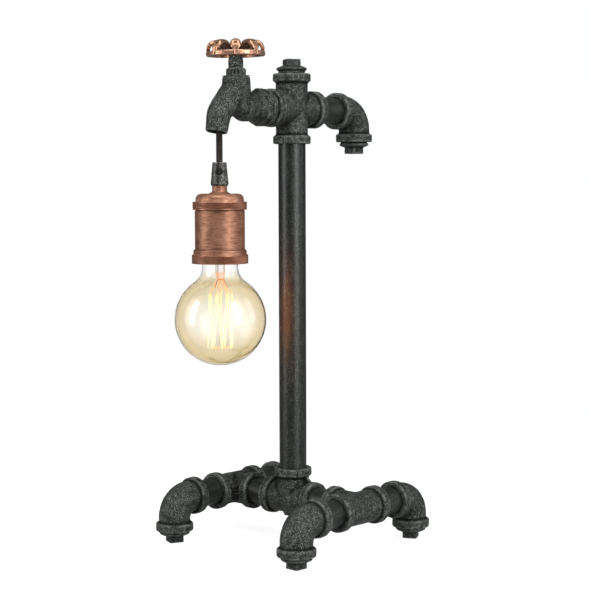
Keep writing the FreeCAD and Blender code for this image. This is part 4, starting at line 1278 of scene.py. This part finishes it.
# %% [markdown]
# ## Stage and light
# The backdrop is plain white to the camera and through glass, and so is the floor, which
# only keeps the lamp's soft shadow.  Polished metal mirrors its surroundings, so for glossy
# rays the world is a soft gradient from nearly black below to dark grey above.

# %% World
def rays_like(*kinds):
    """One for a ray of any of these kinds, and otherwise zero."""
    node = add("LightPath")
    found = [Value(node.outputs[f"Is {kind} Ray"]) for kind in kinds]
    return found[0] if len(found) == 1 else calc("MAXIMUM", *found)


world = bpy.data.worlds.new("studio")
bpy.context.scene.world = world
world.use_nodes = True
tree = world.node_tree
height = split(out("TexCoord", which="Generated"))[2]
ambient = ramp(height, -0.4, 0.9, 0.01, 0.06)
mirrored = ramp(height, -0.5, 0.6, 0.01, 0.15)
lit = out("Mix", {0: rays_like("Glossy"), 2: ambient, 3: mirrored})
strength = out("Mix", {0: rays_like("Camera", "Transmission"), 2: lit, 3: 1.0})
plug(tree.nodes["Background"], {"Color": (1, 1, 1), "Strength": strength})
print("world ready")

# %% [markdown]
# The floor adds two parts: a plain glow that camera and glass rays see almost white and
# mirror rays see dimly, and a matte paint that makes up the rest near the lamp.
# The lamp's shadow takes away only the second part, so it stays faint.  Further out the
# paint fades and the glow rises to full white, so that no horizon shows.

# %% Floor
SIDE, FLOOR_GLOW, FLOOR_PAINT, PLAIN_FROM, WHITE_FROM = 6.0, 0.9, 0.34, 0.25, 1.0
corners = [(-SIDE, -SIDE, 0), (SIDE, -SIDE, 0), (SIDE, SIDE, 0), (-SIDE, SIDE, 0)]
floor = made_of("floor", corners, faces=[(0, 1, 2, 3)])
floor_paint, shader = new_finish("floor paint", Roughness=0.95, Specular_IOR_Level=0.0)
away = vector("LENGTH", object_place())
plug(shader, {"Base Color": ramp(away, PLAIN_FROM, WHITE_FROM, FLOOR_PAINT, 0.0)})
plain_view = calc("MAXIMUM", rays_like("Camera", "Transmission"), rays_like("Glossy") * 0.15)
brightness = ramp(away, PLAIN_FROM, WHITE_FROM, FLOOR_GLOW, 1.0)
glow = out("Emission", {"Color": (1, 1, 1), "Strength": plain_view * brightness})
both = out("AddShader", {0: Value(shader.outputs[0]), 1: glow})
plug(tree.nodes["Material Output"], {"Surface": both})
floor.data.materials.append(floor_paint)
print("floor ready")

# %% [markdown]
# Four soft boxes stand round the lamp: a tall one on the right of the camera, a shorter
# one on the left, a weak one far on the right and one above.  They show in reflections,
# but not to the camera itself or through glass.

# %% Soft boxes
def area_light(name, size, power):
    lamp = bpy.data.lights.new(name, "AREA")
    lamp.shape, lamp.energy = "RECTANGLE", power
    lamp.size, lamp.size_y = size
    holder = new_object(name, lamp)
    holder.visible_camera = holder.visible_transmission = False
    return holder


def aimed(where, way):
    return Matrix.Translation(where) @ way.to_track_quat("-Z", "Y").to_matrix().to_4x4()


TARGET = Vector((-0.02, 0, 0.24))
for name, where, size, power in (("key", (-0.18, -1.24, 0.6), (0.26, 1.3), 17),
                                 ("side", (0.8, -0.95, 0.6), (0.4, 1.2), 2.5),
                                 ("fill", (-1.11, 0.58, 0.55), (0.3, 1.1), 9),
                                 ("top", (-0.35, -0.25, 1.3), (0.8, 0.8), 10)):
    box = area_light(name, size, power)
    box.matrix_world = aimed(where, (TARGET - Vector(where)).normalized())
print("soft boxes ready, the last is the", box.name)

# %% [markdown]
# A mirror image of the top box would hide the filament's hooks, so that box leaves the
# globe out.  The lit filament adds a small warm light of its own, which rides with the bulb
# and draws an orange line down the pipe.

# %% Exception for the globe, and the filament's own light
unlit = bpy.data.collections.new("not lit from above")
unlit.objects.link(globe)
box.light_linking.receiver_collection = unlit
unlit.collection_objects[0].light_linking.link_state = "EXCLUDE"

GLOW_DEPTH = 136
glow_holder = area_light("filament light", (0.012, 0.05), 0.055)
glow_holder.data.color = (1.0, 0.23, 0.035)
glow_holder.data.spread = math.radians(80)
glow_holder.parent = globe
glow_holder.matrix_local = aimed((hang_top - Z * GLOW_DEPTH) * MM, X)
print("lights:", len(bpy.data.lights))

# %% [markdown]
# ## Finish

# %% Finish
bpy.context.scene.view_settings.view_transform = "Standard"
